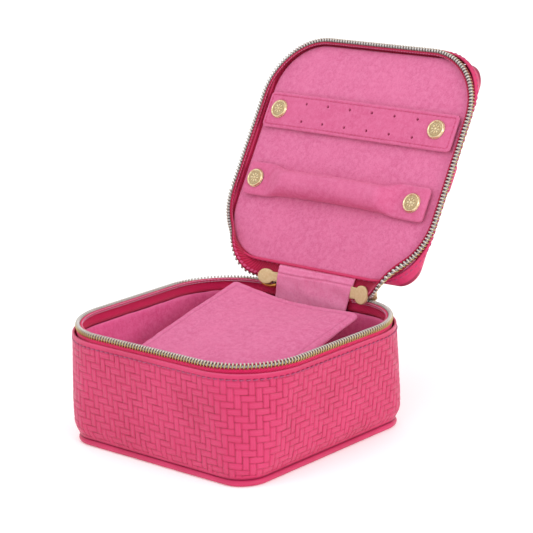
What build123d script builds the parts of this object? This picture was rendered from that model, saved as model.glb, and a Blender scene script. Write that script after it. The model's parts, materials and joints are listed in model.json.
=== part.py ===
from build123d import *
import math
import os

# Leather jewellery case: a zipped, rounded-square case stored standing open.
# Frame: origin at the centre of the bottom face, +Z up, -Y the front,
# +Y the hinge side, millimetres.  The case is drawn closed and every piece of
# the lid is then swung open about the hinge line.

# ---------------------------------------------------------------- dimensions
BOTTOM = 116.0            # outer side of the rounded-square bottom, over the piping
BOTTOM_R = 14.0           # its corner radius
RIM_W = 132.6             # zip line, side to side (the soft walls bow outwards)
RIM_D = 118.8             # zip line, front to back
RIM_R = 33.6              # zip line corner radius
RIM_Z = 57.6              # height of the zip line
LID_DEPTH = 11.6          # zip line to the outside of the lid top
LID_W, LID_D, LID_R = 119.0, 116.6, 10.8   # lid top over its piping
HINGE_Y, HINGE_Z = 59.9, 65.1              # fold line of the leather spine
OPEN_ANGLE = 121.0        # how far the lid stands open

LEATHER = 1.2             # embossed leather
BOARD = 1.4               # stiffening board
SUEDE = 1.2               # lining suede with its backing
GAP = 0.06                # glue line between layers
PIPE_R = 1.65             # piping radius
PIPE_CORE_R = 0.95        # cord inside the piping

LEATHER_TOP_Z = 53.0      # top edge of the leather wall
LINING_TOP_Z = 49.6       # top edge of the suede wall lining
COIL_H = 3.0              # height of one half of the zip coil
COIL_T = 2.3              # thickness of the coil
COIL_GAP = 0.3            # each half coil stops this far from the zip line
TAPE_T = 0.7              # zip tape thickness
HINGE_HALF = 24.5         # half width of the spine between the sliders

SLIDER_X = 31.5           # slider centre, each side
SLIDER_Z = 58.8
SLIDER_L, SLIDER_H = 11.0, 8.8
PLATE_T = 1.2

FLAP_W, FLAP_T = 79.0, 2.4        # inner suede flap
FLAP_ANGLE = 13.4                 # flap stands this far above flat
FLAP_HINGE_Y, FLAP_HINGE_Z = -53.0, 32.0
FLAP_LEN = 100.8
DIVIDER_X = 40.5
DIVIDER_TOP = 30.4

STRIP_Y = -18.0           # earring strip, centre line (case closed)
STRIP_W, STRIP_T = 19.0, 1.6
STRIP_X0, STRIP_X1 = -59.4, 60.5
ROLL_Y = 19.2             # ring roll, centre line
ROLL_X0, ROLL_X1 = -57.4, 57.8
ROLL_END_W, ROLL_END_T = 17.4, 2.2
ROLL_W, ROLL_T = 14.0, 8.4
SNAP_X0, SNAP_X1 = -51.2, 49.2
SNAP_EAR_Y, SNAP_ROLL_Y = -18.7, 19.2
SNAP_R = 4.9
LIFT_X = -43.6            # line where the strip and the roll fold up
HOLE_R, HOLE_PITCH, HOLE_ROWS = 0.55, 14.2, 4.7
LINING_Z = 61.6           # suede face inside the lid (case closed)
STRAP_Z = 60.0            # lid side of the strip and of the roll's flat ends

HANDLE_W, HANDLE_T = 16.5, 2.2
HANDLE_X = 59.2
HANDLE_RISE = 8.5

os.makedirs("parts", exist_ok=True)
parts = {}


def rounded(w, d, r, z):
    return Pos(0, 0, z) * RectangleRounded(w, d, r)


def block(w, d, r, z0, z1):
    return Solid.extrude(rounded(w, d, r, z0).face(), Vector(0, 0, z1 - z0))


def loft_block(sections, inset=0.0):
    faces = [rounded(w - 2 * inset, d - 2 * inset, r - inset, z) for w, d, r, z in sections]
    return loft(faces)


def between(table, z):
    for a, b in zip(table, table[1:]):
        if a[3] <= z <= b[3]:
            k = (z - a[3]) / (b[3] - a[3])
            return tuple(a[i] + k * (b[i] - a[i]) for i in range(3)) + (z,)
    raise ValueError(z)


def band(table, z0, z1, outer, inner):
    # a wall layer that follows the outline table, from inset outer to inset inner
    layer = loft_block(table, outer) - loft_block(table, inner)
    if z0 > table[0][3] + 0.01 or z1 < table[-1][3] - 0.01:
        layer = layer & Pos(0, 0, (z0 + z1) / 2) * Box(400, 400, z1 - z0)
    return layer


def ring_tube(w, d, r, z, radius):
    path = RectangleRounded(w, d, r).wire().moved(Location((0, 0, z)))
    start = path @ 0
    tangent = path % 0
    section = Plane(origin=start, z_dir=tangent) * Circle(radius)
    return sweep(section, path=path)


def box(x0, x1, y0, y1, z0, z1):
    return Pos((x0 + x1) / 2, (y0 + y1) / 2, (z0 + z1) / 2) * Box(x1 - x0, y1 - y0, z1 - z0)


def cyl_z(x, y, z0, z1, r):
    return Pos(x, y, (z0 + z1) / 2) * Cylinder(r, z1 - z0)


def cyl_x(x0, x1, y, z, r):
    return Pos((x0 + x1) / 2, y, z) * Rot(0, 90, 0) * Cylinder(r, x1 - x0)


# ------------------------------------------------------------------- the base
# outline of the outside of the leather at some heights: width, depth, radius, z
BASE = [
    (114.6, 114.6, 13.6, 3.46),
    (121.0, 118.2, 17.2, 10.0),
    (128.4, 119.8, 25.4, 30.0),
    (134.2, 120.4, 34.2, LEATHER_TOP_Z),
]

bottom_in = BOTTOM - 2 * PIPE_R - 3.5
parts["base_bottom_leather"] = block(bottom_in - 0.4, bottom_in - 0.4, 10.9, 0.0, LEATHER)
parts["base_floor_board"] = block(bottom_in - 0.4, bottom_in - 0.4, 10.9, LEATHER + GAP, LEATHER + GAP + BOARD)
parts["base_floor_suede"] = block(106.2, 106.2, 10.6, LEATHER + 2 * GAP + BOARD, 4.9)

pw, pr = BOTTOM - 2 * PIPE_R, BOTTOM_R - PIPE_R
piping_base = ring_tube(pw, pw, pr, PIPE_R + 0.1, PIPE_R)
core_cut = ring_tube(pw, pw, pr, PIPE_R + 0.1, PIPE_CORE_R + 0.03)
parts["base_piping"] = piping_base - core_cut
parts["base_piping_cord"] = ring_tube(pw, pw, pr, PIPE_R + 0.1, PIPE_CORE_R)

parts["base_wall_leather"] = band(BASE, 3.46, LEATHER_TOP_Z, 0.0, LEATHER)
parts["base_wall_board"] = band(BASE, 3.6, LINING_TOP_Z, LEATHER + GAP, LEATHER + GAP + BOARD)
s0 = LEATHER + 2 * GAP + BOARD
parts["base_wall_suede"] = band(BASE, 3.6, LINING_TOP_Z, s0, s0 + SUEDE)

# zip tape: stands up inside the leather's top edge and leans in behind the coil
tape_rows = [
    (between(BASE, LINING_TOP_Z + 0.2)[0] - 3.4, between(BASE, LINING_TOP_Z + 0.2)[1] - 3.0, 31.7, LINING_TOP_Z + 0.2),
    (RIM_W - 2 * COIL_T - 0.1, RIM_D - 2 * COIL_T - 0.1, RIM_R - COIL_T, COIL_H + LEATHER_TOP_Z - 1.9),
    (RIM_W - 2 * COIL_T - 0.1, RIM_D - 2 * COIL_T - 0.1, RIM_R - COIL_T, RIM_Z - COIL_GAP - 0.1),
]


def ruled_band(rows, t):
    def stack(inset):
        out = None
        for a, b in zip(rows, rows[1:]):
            s = loft([rounded(a[0] - 2 * inset, a[1] - 2 * inset, a[2] - inset, a[3]),
                      rounded(b[0] - 2 * inset, b[1] - 2 * inset, b[2] - inset, b[3])], ruled=True)
            out = s if out is None else out + s
        return out
    return stack(0.0) - stack(t)


hinge_cut = box(-HINGE_HALF, HINGE_HALF, 50.0, 65.0, RIM_Z - 12, RIM_Z + 12)
parts["base_zip_tape"] = ruled_band(tape_rows, TAPE_T) - hinge_cut

coil_low = block(RIM_W, RIM_D, RIM_R, RIM_Z - COIL_GAP - COIL_H, RIM_Z - COIL_GAP) \
    - block(RIM_W - 2 * COIL_T, RIM_D - 2 * COIL_T, RIM_R - COIL_T, RIM_Z - COIL_GAP - COIL_H - 1, RIM_Z)
parts["base_zip_coil"] = coil_low - hinge_cut

# spine: the leather that carries on up between the two sliders, in two leaves
# either side of the fold line
SPINE_GAP = 1.25
parts["spine_leather_lower"] = box(-HINGE_HALF + 0.6, HINGE_HALF - 0.6, HINGE_Y - 0.6, HINGE_Y + 0.55,
                                   LEATHER_TOP_Z + 0.05, HINGE_Z - SPINE_GAP - 2.05)
parts["hinge_cover_lower"] = box(-HINGE_HALF + 0.3, HINGE_HALF - 0.3, 54.4, 55.5, 45.4, RIM_Z - 0.4)
stops_low = None
for s in (-1, 1):
    st = box(s * (HINGE_HALF - 3.4) - 1.0, s * (HINGE_HALF - 3.4) + 1.0, 56.2, 58.6, RIM_Z - 3.0, RIM_Z - 0.4)
    stops_low = st if stops_low is None else stops_low + st
parts["zip_end_stops"] = stops_low

# dividers: a board on edge with suede folded over its top
for name, x in (("left", -DIVIDER_X), ("right", DIVIDER_X)):
    parts["divider_%s_board" % name] = box(x - 0.6, x + 0.6, -53.0, 53.0, 5.0, DIVIDER_TOP - 0.9)
    wrap = box(x - 1.45, x + 1.45, -53.0, 53.0, 5.0, DIVIDER_TOP) - box(x - 0.65, x + 0.65, -54, 54, 4.0, DIVIDER_TOP - 0.85)
    parts["divider_%s_suede" % name] = wrap

# inner flap: two suedes either side of a thin board, hinged low at the front
flap_rot = Pos(0, FLAP_HINGE_Y, FLAP_HINGE_Z) * Rot(FLAP_ANGLE, 0, 0)


def flap_layer(w, l0, l1, t0, t1, r):
    f = Pos(0, (l0 + l1) / 2, t0) * RectangleRounded(w, l1 - l0, r)
    return flap_rot * Solid.extrude(f.face(), Vector(0, 0, t1 - t0))


parts["inner_flap_top_suede"] = flap_layer(FLAP_W, 0.8, FLAP_LEN, 0.42, 1.2, 3.0)
parts["inner_flap_board"] = flap_layer(FLAP_W - 4, 3.0, FLAP_LEN - 2.0, -0.38, 0.38, 2.0)
parts["inner_flap_bottom_suede"] = flap_layer(FLAP_W, 0.8, FLAP_LEN, -1.2, -0.42, 3.0)
parts["inner_flap_tab"] = box(-FLAP_W / 2 + 3, FLAP_W / 2 - 3, -55.35, -54.5, 24.0, 33.0)

# ---------------------------------------------------------------- the sliders
PLATE_IN = 54.2           # inside face of the inner plate
PLATE_OUT = 60.0          # inside face of the outer plate
BAIL_Y = PLATE_OUT + PLATE_T + 2.0


def plate_outline(sign):
    # seen along Y: square rear end towards the hinge, a slight waist, round
    # shoulders and a blunt nose; u runs outwards from the hinge
    h = SLIDER_H / 2
    pts = [(-5.5, h * 0.74), (-2.0, h * 0.70), (0.2, h * 0.78), (1.6, h * 0.98), (3.4, h * 0.98),
           (4.7, h * 0.66), (5.6, h * 0.36), (6.4, h * 0.20), (6.4, -h * 0.20), (5.6, -h * 0.36),
           (4.7, -h * 0.66), (3.4, -h * 0.98), (1.6, -h * 0.98), (0.2, -h * 0.78), (-2.0, -h * 0.70),
           (-5.5, -h * 0.74)]
    return [(sign * (SLIDER_X + u), SLIDER_Z + v) for u, v in pts]


def plate(sign, y0, y1):
    pts = plate_outline(sign)
    wire = Polyline(*[(p[0], y0, p[1]) for p in pts], close=True)
    face = Face(Wire(wire.edges()))
    return Solid.extrude(face, Vector(0, y1 - y0, 0))


for name, s in (("left", -1), ("right", 1)):
    body = plate(s, PLATE_IN, PLATE_IN + PLATE_T) + plate(s, PLATE_OUT, PLATE_OUT + PLATE_T)
    xa, xb = sorted((s * (SLIDER_X + 0.6), s * (SLIDER_X + 3.6)))
    body = body + box(xa, xb, PLATE_IN + 0.6, PLATE_OUT + 0.6, RIM_Z - 0.2, RIM_Z + 0.2)
    xa, xb = sorted((s * (SLIDER_X - 3.2), s * (SLIDER_X + 3.2)))
    bail = cyl_x(xa, xb, BAIL_Y, SLIDER_Z, 0.5)
    for x in (xa + 0.5, xb - 0.5):
        bail = bail + box(x - 0.5, x + 0.5, PLATE_OUT + PLATE_T - 0.4, BAIL_Y, SLIDER_Z - 0.5, SLIDER_Z + 0.5)
    parts["zip_slider_%s" % name] = body + bail
    x = s * SLIDER_X
    eye = cyl_x(x - 0.9, x + 0.9, BAIL_Y, SLIDER_Z, 1.65)
    tab_pts = [(-1.5, -0.9), (1.5, -0.9), (2.2, -4.0), (3.1, -17.0), (2.6, -20.4), (1.2, -21.8),
               (-1.2, -21.8), (-2.6, -20.4), (-3.1, -17.0), (-2.2, -4.0)]
    wire = Polyline(*[(x + u, BAIL_Y - 0.5, SLIDER_Z + v) for u, v in tab_pts], close=True)
    tab = Solid.extrude(Face(Wire(wire.edges())), Vector(0, 1.0, 0))
    parts["zip_pull_%s" % name] = (eye + tab) - cyl_x(x - 4, x + 4, BAIL_Y, SLIDER_Z, 0.85)

# ------------------------------------------------------- the lid, drawn closed
LID = [
    (129.0, 119.4, 26.6, RIM_Z + 4.6),
    (121.6, 117.4, 13.9, RIM_Z + LID_DEPTH - 2 * PIPE_R - 0.1),
]
lid = {}
top_z = RIM_Z + LID_DEPTH
pipe_z = top_z - PIPE_R
lpw, lpd, lpr = LID_W - 2 * PIPE_R, LID_D - 2 * PIPE_R, LID_R - PIPE_R
in_w, in_d, in_r = lpw - 2 * PIPE_R - 0.4, lpd - 2 * PIPE_R - 0.4, lpr - PIPE_R - 0.2
lid["lid_top_leather"] = block(in_w, in_d, in_r, top_z - LEATHER, top_z)
lid["lid_top_board"] = block(in_w, in_d, in_r, top_z - LEATHER - GAP - BOARD, top_z - LEATHER - GAP)
lid["lid_piping"] = ring_tube(lpw, lpd, lpr, pipe_z, PIPE_R) - ring_tube(lpw, lpd, lpr, pipe_z, PIPE_CORE_R + 0.03)
lid["lid_piping_cord"] = ring_tube(lpw, lpd, lpr, pipe_z, PIPE_CORE_R)
lid["lid_wall_leather"] = band(LID, LID[0][3], LID[1][3], 0.0, LEATHER)
lid["lid_foam_pad"] = block(117.2, 113.2, 17.4, LINING_Z + 1.8, RIM_Z + LID_DEPTH - 2 * PIPE_R - 0.1)
# the lining is notched over each slider, so that the lid can shut on it
notch = box(-41.1, -23.9, 53.5, 60.0, LINING_Z - 1, LINING_Z + 1.8) + box(23.9, 41.1, 53.5, 60.0, LINING_Z - 1, LINING_Z + 1.8)
lid["lid_lining_board"] = block(122.0, 112.0, 27.0, LINING_Z + 0.86, LINING_Z + 1.74) - notch
lid["lid_lining_suede"] = block(121.8, 112.0, 27.0, LINING_Z, LINING_Z + 0.8) - notch
lid_tape_rows = [
    (RIM_W - 2 * COIL_T - 0.1, RIM_D - 2 * COIL_T - 0.1, RIM_R - COIL_T, RIM_Z + COIL_GAP + 0.1),
    (RIM_W - 2 * COIL_T - 0.1, RIM_D - 2 * COIL_T - 0.1, RIM_R - COIL_T, RIM_Z + COIL_H + 0.5),
    (125.4, 116.0, 28.0, RIM_Z + 4.9),
]
# the lid's coil and tape start beyond the sliders, which fill the rest of the corner
slider_cut = box(-40.3, 40.3, 50.0, 65.0, RIM_Z - 1, RIM_Z + 12)
lid["lid_zip_tape"] = ruled_band(lid_tape_rows, TAPE_T) - slider_cut
coil_up = block(RIM_W, RIM_D, RIM_R, RIM_Z + COIL_GAP, RIM_Z + COIL_GAP + COIL_H) \
    - block(RIM_W - 2 * COIL_T, RIM_D - 2 * COIL_T, RIM_R - COIL_T, RIM_Z, RIM_Z + COIL_H + 2)
lid["lid_zip_coil"] = coil_up - slider_cut
# the upper spine leaf is sewn to the outside of the lid wall
lid["spine_leather_upper"] = box(-HINGE_HALF + 0.6, HINGE_HALF - 0.6, HINGE_Y - 0.1, HINGE_Y + 0.6,
                                 HINGE_Z + 1.45, top_z - 0.4)
lid["hinge_cover_upper"] = box(-HINGE_HALF + 0.3, HINGE_HALF - 0.3, 54.6, 55.6, RIM_Z + 1.6, LINING_Z - 0.06)

# carrying strap across the outside of the lid
hz = top_z + 0.05
a0 = HANDLE_X - 14.0
arch_r = (a0 ** 2 + HANDLE_RISE ** 2) / (2 * HANDLE_RISE)
cz = hz + HANDLE_RISE - arch_r
outer_r = arch_r + HANDLE_T
half = HANDLE_W / 2
disc = Pos(0, 0, cz) * Rot(90, 0, 0) * Cylinder(outer_r, HANDLE_W)
hole = Pos(0, 0, cz) * Rot(90, 0, 0) * Cylinder(arch_r, HANDLE_W + 2)
arch = (disc - hole) & box(-a0 - 3.0, a0 + 3.0, -half, half, hz, hz + 30)
strap = arch
for s in (-1, 1):
    xa, xb = sorted((s * (a0 - 1.0), s * HANDLE_X))
    strap = strap + box(xa, xb, -half, half, hz, hz + HANDLE_T)
lid["lid_handle"] = strap

# snaps: studs on the lid, sockets and caps on the free ends, rivets at the fixed ends
studs = None
for x, y in ((SNAP_X1, SNAP_EAR_Y), (SNAP_X1, SNAP_ROLL_Y)):
    st = cyl_z(x, y, LINING_Z - 0.55, LINING_Z - 0.04, 4.2) + cyl_z(x, y, LINING_Z - 1.35, LINING_Z - 0.5, 1.5)
    studs = st if studs is None else studs + st
lid["snap_studs"] = studs


def dome(x, y, z_top, r, t):
    # shallow cap with a raised rim; its face looks away from the lid (-Z)
    rim = cyl_z(x, y, z_top - t, z_top, r)
    rim = fillet(rim.edges().filter_by(GeomType.CIRCLE).sort_by(Axis.Z)[0], 0.55)
    dish = Pos(x, y, z_top - t) * Cylinder(r - 1.1, 0.5)
    crown = Pos(x, y, z_top - t + 0.14) * Cylinder(r - 1.5, 0.28)
    crown = fillet(crown.edges().filter_by(GeomType.CIRCLE).sort_by(Axis.Z)[0], 0.2)
    return (rim - dish) + crown


# the strap faces lie at STRAP_Z (towards the lid) and at these heights
ear_face = STRAP_Z - STRIP_T
roll_face = STRAP_Z - ROLL_END_T
gap_x = 0.15


def strap_plate(x0, x1, yc, w, z0, z1, r, round_left, round_right):
    s = box(x0, x1, yc - w / 2, yc + w / 2, z0, z1)
    ed = s.edges().filter_by(Axis.Z)
    pick = []
    for e in ed:
        ex = e.center().X
        if (round_left and abs(ex - x0) < 0.01) or (round_right and abs(ex - x1) < 0.01):
            pick.append(e)
    return fillet(pick, r) if pick else s


# earring strip: a short fixed end and the long part that folds up from it
strip_fixed = strap_plate(STRIP_X0, LIFT_X - gap_x, STRIP_Y, STRIP_W, ear_face, STRAP_Z, 2.6, True, False)
strip_free = strap_plate(LIFT_X + gap_x, STRIP_X1, STRIP_Y, STRIP_W, ear_face, STRAP_Z, 2.6, False, True)
for k in range(6):
    for row in (-1, 1):
        hx = 1.0 + (k - 2.5) * HOLE_PITCH + (1.0 if row < 0 else -1.0) * 0.0
        strip_free = strip_free - cyl_z(hx, STRIP_Y + row * HOLE_ROWS, ear_face - 1, STRAP_Z + 1, HOLE_R)
lid["earring_strip_fixed_end"] = strip_fixed
lid["earring_strip"] = strip_free - cyl_z(SNAP_X1, SNAP_EAR_Y, ear_face - 1, STRAP_Z + 1, 1.25)
lid["ring_roll_fixed_end"] = strap_plate(ROLL_X0, LIFT_X - gap_x, ROLL_Y, ROLL_END_W, roll_face, STRAP_Z, 2.6, True, False)


def roll_section(x, w, z0, z1, r):
    return Plane(origin=(x, ROLL_Y, (z0 + z1) / 2), x_dir=(0, 1, 0), z_dir=(1, 0, 0)) * RectangleRounded(w, z1 - z0, r)


mid_lo = LINING_Z - 0.3 - ROLL_T
mid_hi = LINING_Z - 0.3
secs = [
    (LIFT_X + gap_x, ROLL_END_W, roll_face, STRAP_Z, 1.0),
    (-36.0, 15.6, STRAP_Z - 5.0, STRAP_Z + 0.6, 2.6),
    (-24.0, 14.4, mid_lo + 0.7, mid_hi, 3.7),
    (0.0, ROLL_W, mid_lo, mid_hi, 4.1),
    (24.0, 14.4, mid_lo + 0.7, mid_hi, 3.7),
    (36.0, 15.6, STRAP_Z - 5.0, STRAP_Z + 0.6, 2.6),
    (43.4, ROLL_END_W, roll_face, STRAP_Z, 1.0),
]
roll_mid = loft([roll_section(*s) for s in secs])
roll_tab = strap_plate(43.4, ROLL_X1, ROLL_Y, ROLL_END_W, roll_face, STRAP_Z, 2.6, False, True)
core_secs = [(x, w - 2.2, z0 + 1.1, z1 - 1.1, max(r - 1.1, 0.5)) for x, w, z0, z1, r in secs[1:-1]]
roll_core = loft([roll_section(*s) for s in core_secs])
core_void = loft([roll_section(x, w + 0.1, z0 - 0.05, z1 + 0.05, r) for x, w, z0, z1, r in core_secs])
lid["ring_roll_suede"] = (roll_mid + roll_tab) - core_void - cyl_z(SNAP_X1, SNAP_ROLL_Y, roll_face - 1, STRAP_Z + 1, 1.25)
lid["ring_roll_padding"] = roll_core

lid["snap_cap_earring_fixed"] = dome(SNAP_X0, SNAP_EAR_Y, ear_face, SNAP_R, 1.2)
lid["snap_cap_ring_fixed"] = dome(SNAP_X0, SNAP_ROLL_Y, roll_face, SNAP_R, 1.2)
lid["snap_cap_earring_free"] = dome(SNAP_X1, SNAP_EAR_Y, ear_face, SNAP_R, 1.2)
lid["snap_cap_ring_free"] = dome(SNAP_X1, SNAP_ROLL_Y, roll_face, SNAP_R, 1.2)
rivets = None
for y in (SNAP_EAR_Y, SNAP_ROLL_Y):
    rv = cyl_z(SNAP_X0, y, STRAP_Z + 0.03, LINING_Z - 0.03, 2.2)
    rivets = rv if rivets is None else rivets + rv
lid["snap_fixed_posts"] = rivets
# sockets: a washer on the lid side of the strap whose shank fills the strap's hole
for nm, y, face in (("earring", SNAP_EAR_Y, ear_face), ("ring", SNAP_ROLL_Y, roll_face)):
    sock = cyl_z(SNAP_X1, y, STRAP_Z + 0.02, STRAP_Z + 0.95, 4.4) - cyl_z(SNAP_X1, y, STRAP_Z + 0.2, STRAP_Z + 2, 1.85)
    sock = sock + cyl_z(SNAP_X1, y, face + 0.02, STRAP_Z + 0.2, 1.2)
    lid["snap_socket_%s" % nm] = sock

# ------------------------------------------------------------- swing the lid open
hinge_axis = Axis((0, HINGE_Y, HINGE_Z), (1, 0, 0))
for name, solid in lid.items():
    parts[name] = solid.rotate(hinge_axis, -OPEN_ANGLE)

for name, solid in parts.items():
    items = solid.solids() if hasattr(solid, "solids") else [solid]
    shape = items[0] if len(items) == 1 else Compound(children=list(items))
    shape.label = name
    export_step(shape, "parts/%s.step" % name)
print(len(parts), "nodes")
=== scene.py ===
import bpy, json, math
import numpy as np
from mathutils import Matrix


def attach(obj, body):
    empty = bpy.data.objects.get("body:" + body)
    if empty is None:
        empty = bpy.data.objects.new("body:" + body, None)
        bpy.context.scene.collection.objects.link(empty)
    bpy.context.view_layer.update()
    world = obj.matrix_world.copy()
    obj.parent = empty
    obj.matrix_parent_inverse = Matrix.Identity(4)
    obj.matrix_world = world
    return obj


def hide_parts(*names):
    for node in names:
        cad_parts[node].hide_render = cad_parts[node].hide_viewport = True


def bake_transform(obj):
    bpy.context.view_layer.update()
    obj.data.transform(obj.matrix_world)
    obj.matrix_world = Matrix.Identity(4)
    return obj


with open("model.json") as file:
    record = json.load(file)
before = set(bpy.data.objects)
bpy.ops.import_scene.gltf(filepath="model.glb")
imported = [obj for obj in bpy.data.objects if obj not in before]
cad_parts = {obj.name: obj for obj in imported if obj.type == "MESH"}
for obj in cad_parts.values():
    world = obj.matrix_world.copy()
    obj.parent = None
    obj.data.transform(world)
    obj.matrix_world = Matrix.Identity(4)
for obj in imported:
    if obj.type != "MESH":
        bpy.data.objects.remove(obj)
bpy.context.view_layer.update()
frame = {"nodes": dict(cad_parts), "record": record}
nodes = frame["nodes"]

# ------------------------------------------------------------------ camera first
cam_d = bpy.data.cameras.new("camera")
cam = bpy.data.objects.new("camera", cam_d)
bpy.context.scene.collection.objects.link(cam)
_a, _e, _r = math.radians(42.407), math.radians(15.150), math.radians(2.217)
_back = np.array([math.sin(_a) * math.cos(_e), -math.cos(_a) * math.cos(_e), math.sin(_e)])
_right = np.array([math.cos(_a), math.sin(_a), 0.0])
_up = np.cross(_back, _right)
_R = np.array([[math.cos(_r), -math.sin(_r), 0], [math.sin(_r), math.cos(_r), 0], [0, 0, 1]]) @ np.array([_right, _up, _back])
_pos = _R.T @ np.array([13.398, 78.827, 1020.226]) / 1000.0
_m = Matrix.Identity(4)
for _i in range(3):
    for _j in range(3):
        _m[_i][_j] = float(_R[_j][_i])
    _m[_i][3] = float(_pos[_i])
cam.matrix_world = _m
cam_d.sensor_fit = "HORIZONTAL"
cam_d.sensor_width = 36.0
cam_d.lens = 2127.71 / 533.0 * 36.0
cam_d.clip_start = 0.05
cam_d.clip_end = 20.0
bpy.context.scene.camera = cam
bpy.context.scene.view_settings.view_transform = "Standard"
bpy.context.scene.view_settings.look = "None"

# ------------------------------------------------------- design values (mm, case closed)
BOTTOM, BOTTOM_R = 116.0, 14.0
RIM_W, RIM_D, RIM_R, RIM_Z = 132.6, 118.8, 33.6, 57.6
LID_DEPTH = 11.6
LID_W, LID_D, LID_R = 119.0, 116.6, 10.8
HY, HZ = 59.9, 65.1
OPEN = math.radians(121.0)
PIPE_R = 1.65
COIL_P = 1.7
STRIP_Y, STRIP_W = -18.0, 19.0
LINING_Z, STRAP_Z = 61.6, 60.0
BASE_T = np.array([(114.6, 114.6, 13.6, 3.46), (121.6, 118.2, 16.6, 10.0), (127.8, 119.6, 23.8, 30.0), (134.2, 120.4, 32.4, 53.0)])


def ss(x):
    x = np.clip(x, 0.0, 1.0)
    return x * x * (3 - 2 * x)


def swing(P, w=1.0):
    """closed lid place -> its place with the lid open; w shares the turn"""
    P = np.asarray(P, float)
    a = OPEN * np.asarray(w, float)
    set_back = 2.6 * ss((P[..., 2] - 62.4) / 3.4) * np.clip((59.0 - P[..., 1]) / 118.0, 0, 1)
    y, z = P[..., 1] + set_back - HY, P[..., 2] - HZ
    c, s = np.cos(a), np.sin(a)
    return np.stack([P[..., 0] + 0 * a, HY + y * c + z * s, HZ - y * s + z * c], -1)


_rng = np.random.RandomState(7)
_waves = [(_rng.normal(size=3), _rng.uniform(0, 6.28)) for _ in range(24)]


def soft_noise(P, size):
    """smooth noise in about -1..1, features about size mm across"""
    P = np.asarray(P, float)
    out = np.zeros(P.shape[:-1])
    for k, ph in _waves:
        out += np.sin((P @ (k / size * 2.2)) + ph)
    return out / 5.0


# ------------------------------------------------------------------ mesh building
class Mesh:
    def __init__(self):
        self.V, self.Q, self.T, self.A, self.n = [], [], [], [], 0

    def add(self, V, F, **att):
        V = np.asarray(V, float).reshape(-1, 3)
        F = np.asarray(F, int)
        (self.Q if F.shape[1] == 4 else self.T).append(F + self.n)
        self.V.append(V)
        self.A.append((len(V), att))
        self.n += len(V)
        return self

    def obj(self, name, mat=None, smooth=True):
        V = np.concatenate(self.V) / 1000.0
        Q = np.concatenate(self.Q) if self.Q else np.zeros((0, 4), int)
        T = np.concatenate(self.T) if self.T else np.zeros((0, 3), int)
        me = bpy.data.meshes.new(name)
        me.vertices.add(len(V))
        me.vertices.foreach_set("co", V.astype(np.float32).ravel())
        nl = len(Q) * 4 + len(T) * 3
        me.loops.add(nl)
        me.loops.foreach_set("vertex_index", np.concatenate([Q.ravel(), T.ravel()]).astype(np.int32))
        me.polygons.add(len(Q) + len(T))
        start = np.concatenate([np.arange(len(Q)) * 4, len(Q) * 4 + np.arange(len(T)) * 3]).astype(np.int32)
        me.polygons.foreach_set("loop_start", start)
        me.update(calc_edges=True)
        me.polygons.foreach_set("use_smooth", np.full(len(Q) + len(T), smooth, bool))
        keys = sorted({k for _, a in self.A for k in a})
        for k in keys:
            vals = np.concatenate([np.broadcast_to(np.asarray(a.get(k, 0.0), float).ravel() if np.size(a.get(k, 0.0)) > 1 else a.get(k, 0.0), (n,)) for n, a in self.A])
            at = me.attributes.new(k, "FLOAT", "POINT")
            at.data.foreach_set("value", vals.astype(np.float32))
        me.validate()
        o = bpy.data.objects.new(name, me)
        bpy.context.scene.collection.objects.link(o)
        if mat is not None:
            me.materials.append(mat)
        return o


def grid_faces(n, m, cu=False, cv=False, flip=False):
    """faces of an (n, m) grid; cu closes the first axis, cv the second"""
    i = np.arange(n if cu else n - 1)
    j = np.arange(m if cv else m - 1)
    I, J = np.meshgrid(i, j, indexing="ij")
    I2, J2 = (I + 1) % n, (J + 1) % m
    F = np.stack([I * m + J, I * m + J2, I2 * m + J2, I2 * m + J], -1).reshape(-1, 4)
    return F[:, ::-1] if flip else F


def grid_normals(P, cu=False, cv=False):
    def d(P, ax, closed):
        if closed:
            return np.roll(P, -1, ax) - np.roll(P, 1, ax)
        return np.gradient(P, axis=ax)
    n = np.cross(d(P, 0, cu), d(P, 1, cv))
    return n / np.maximum(np.linalg.norm(n, axis=-1, keepdims=True), 1e-12)


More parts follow.
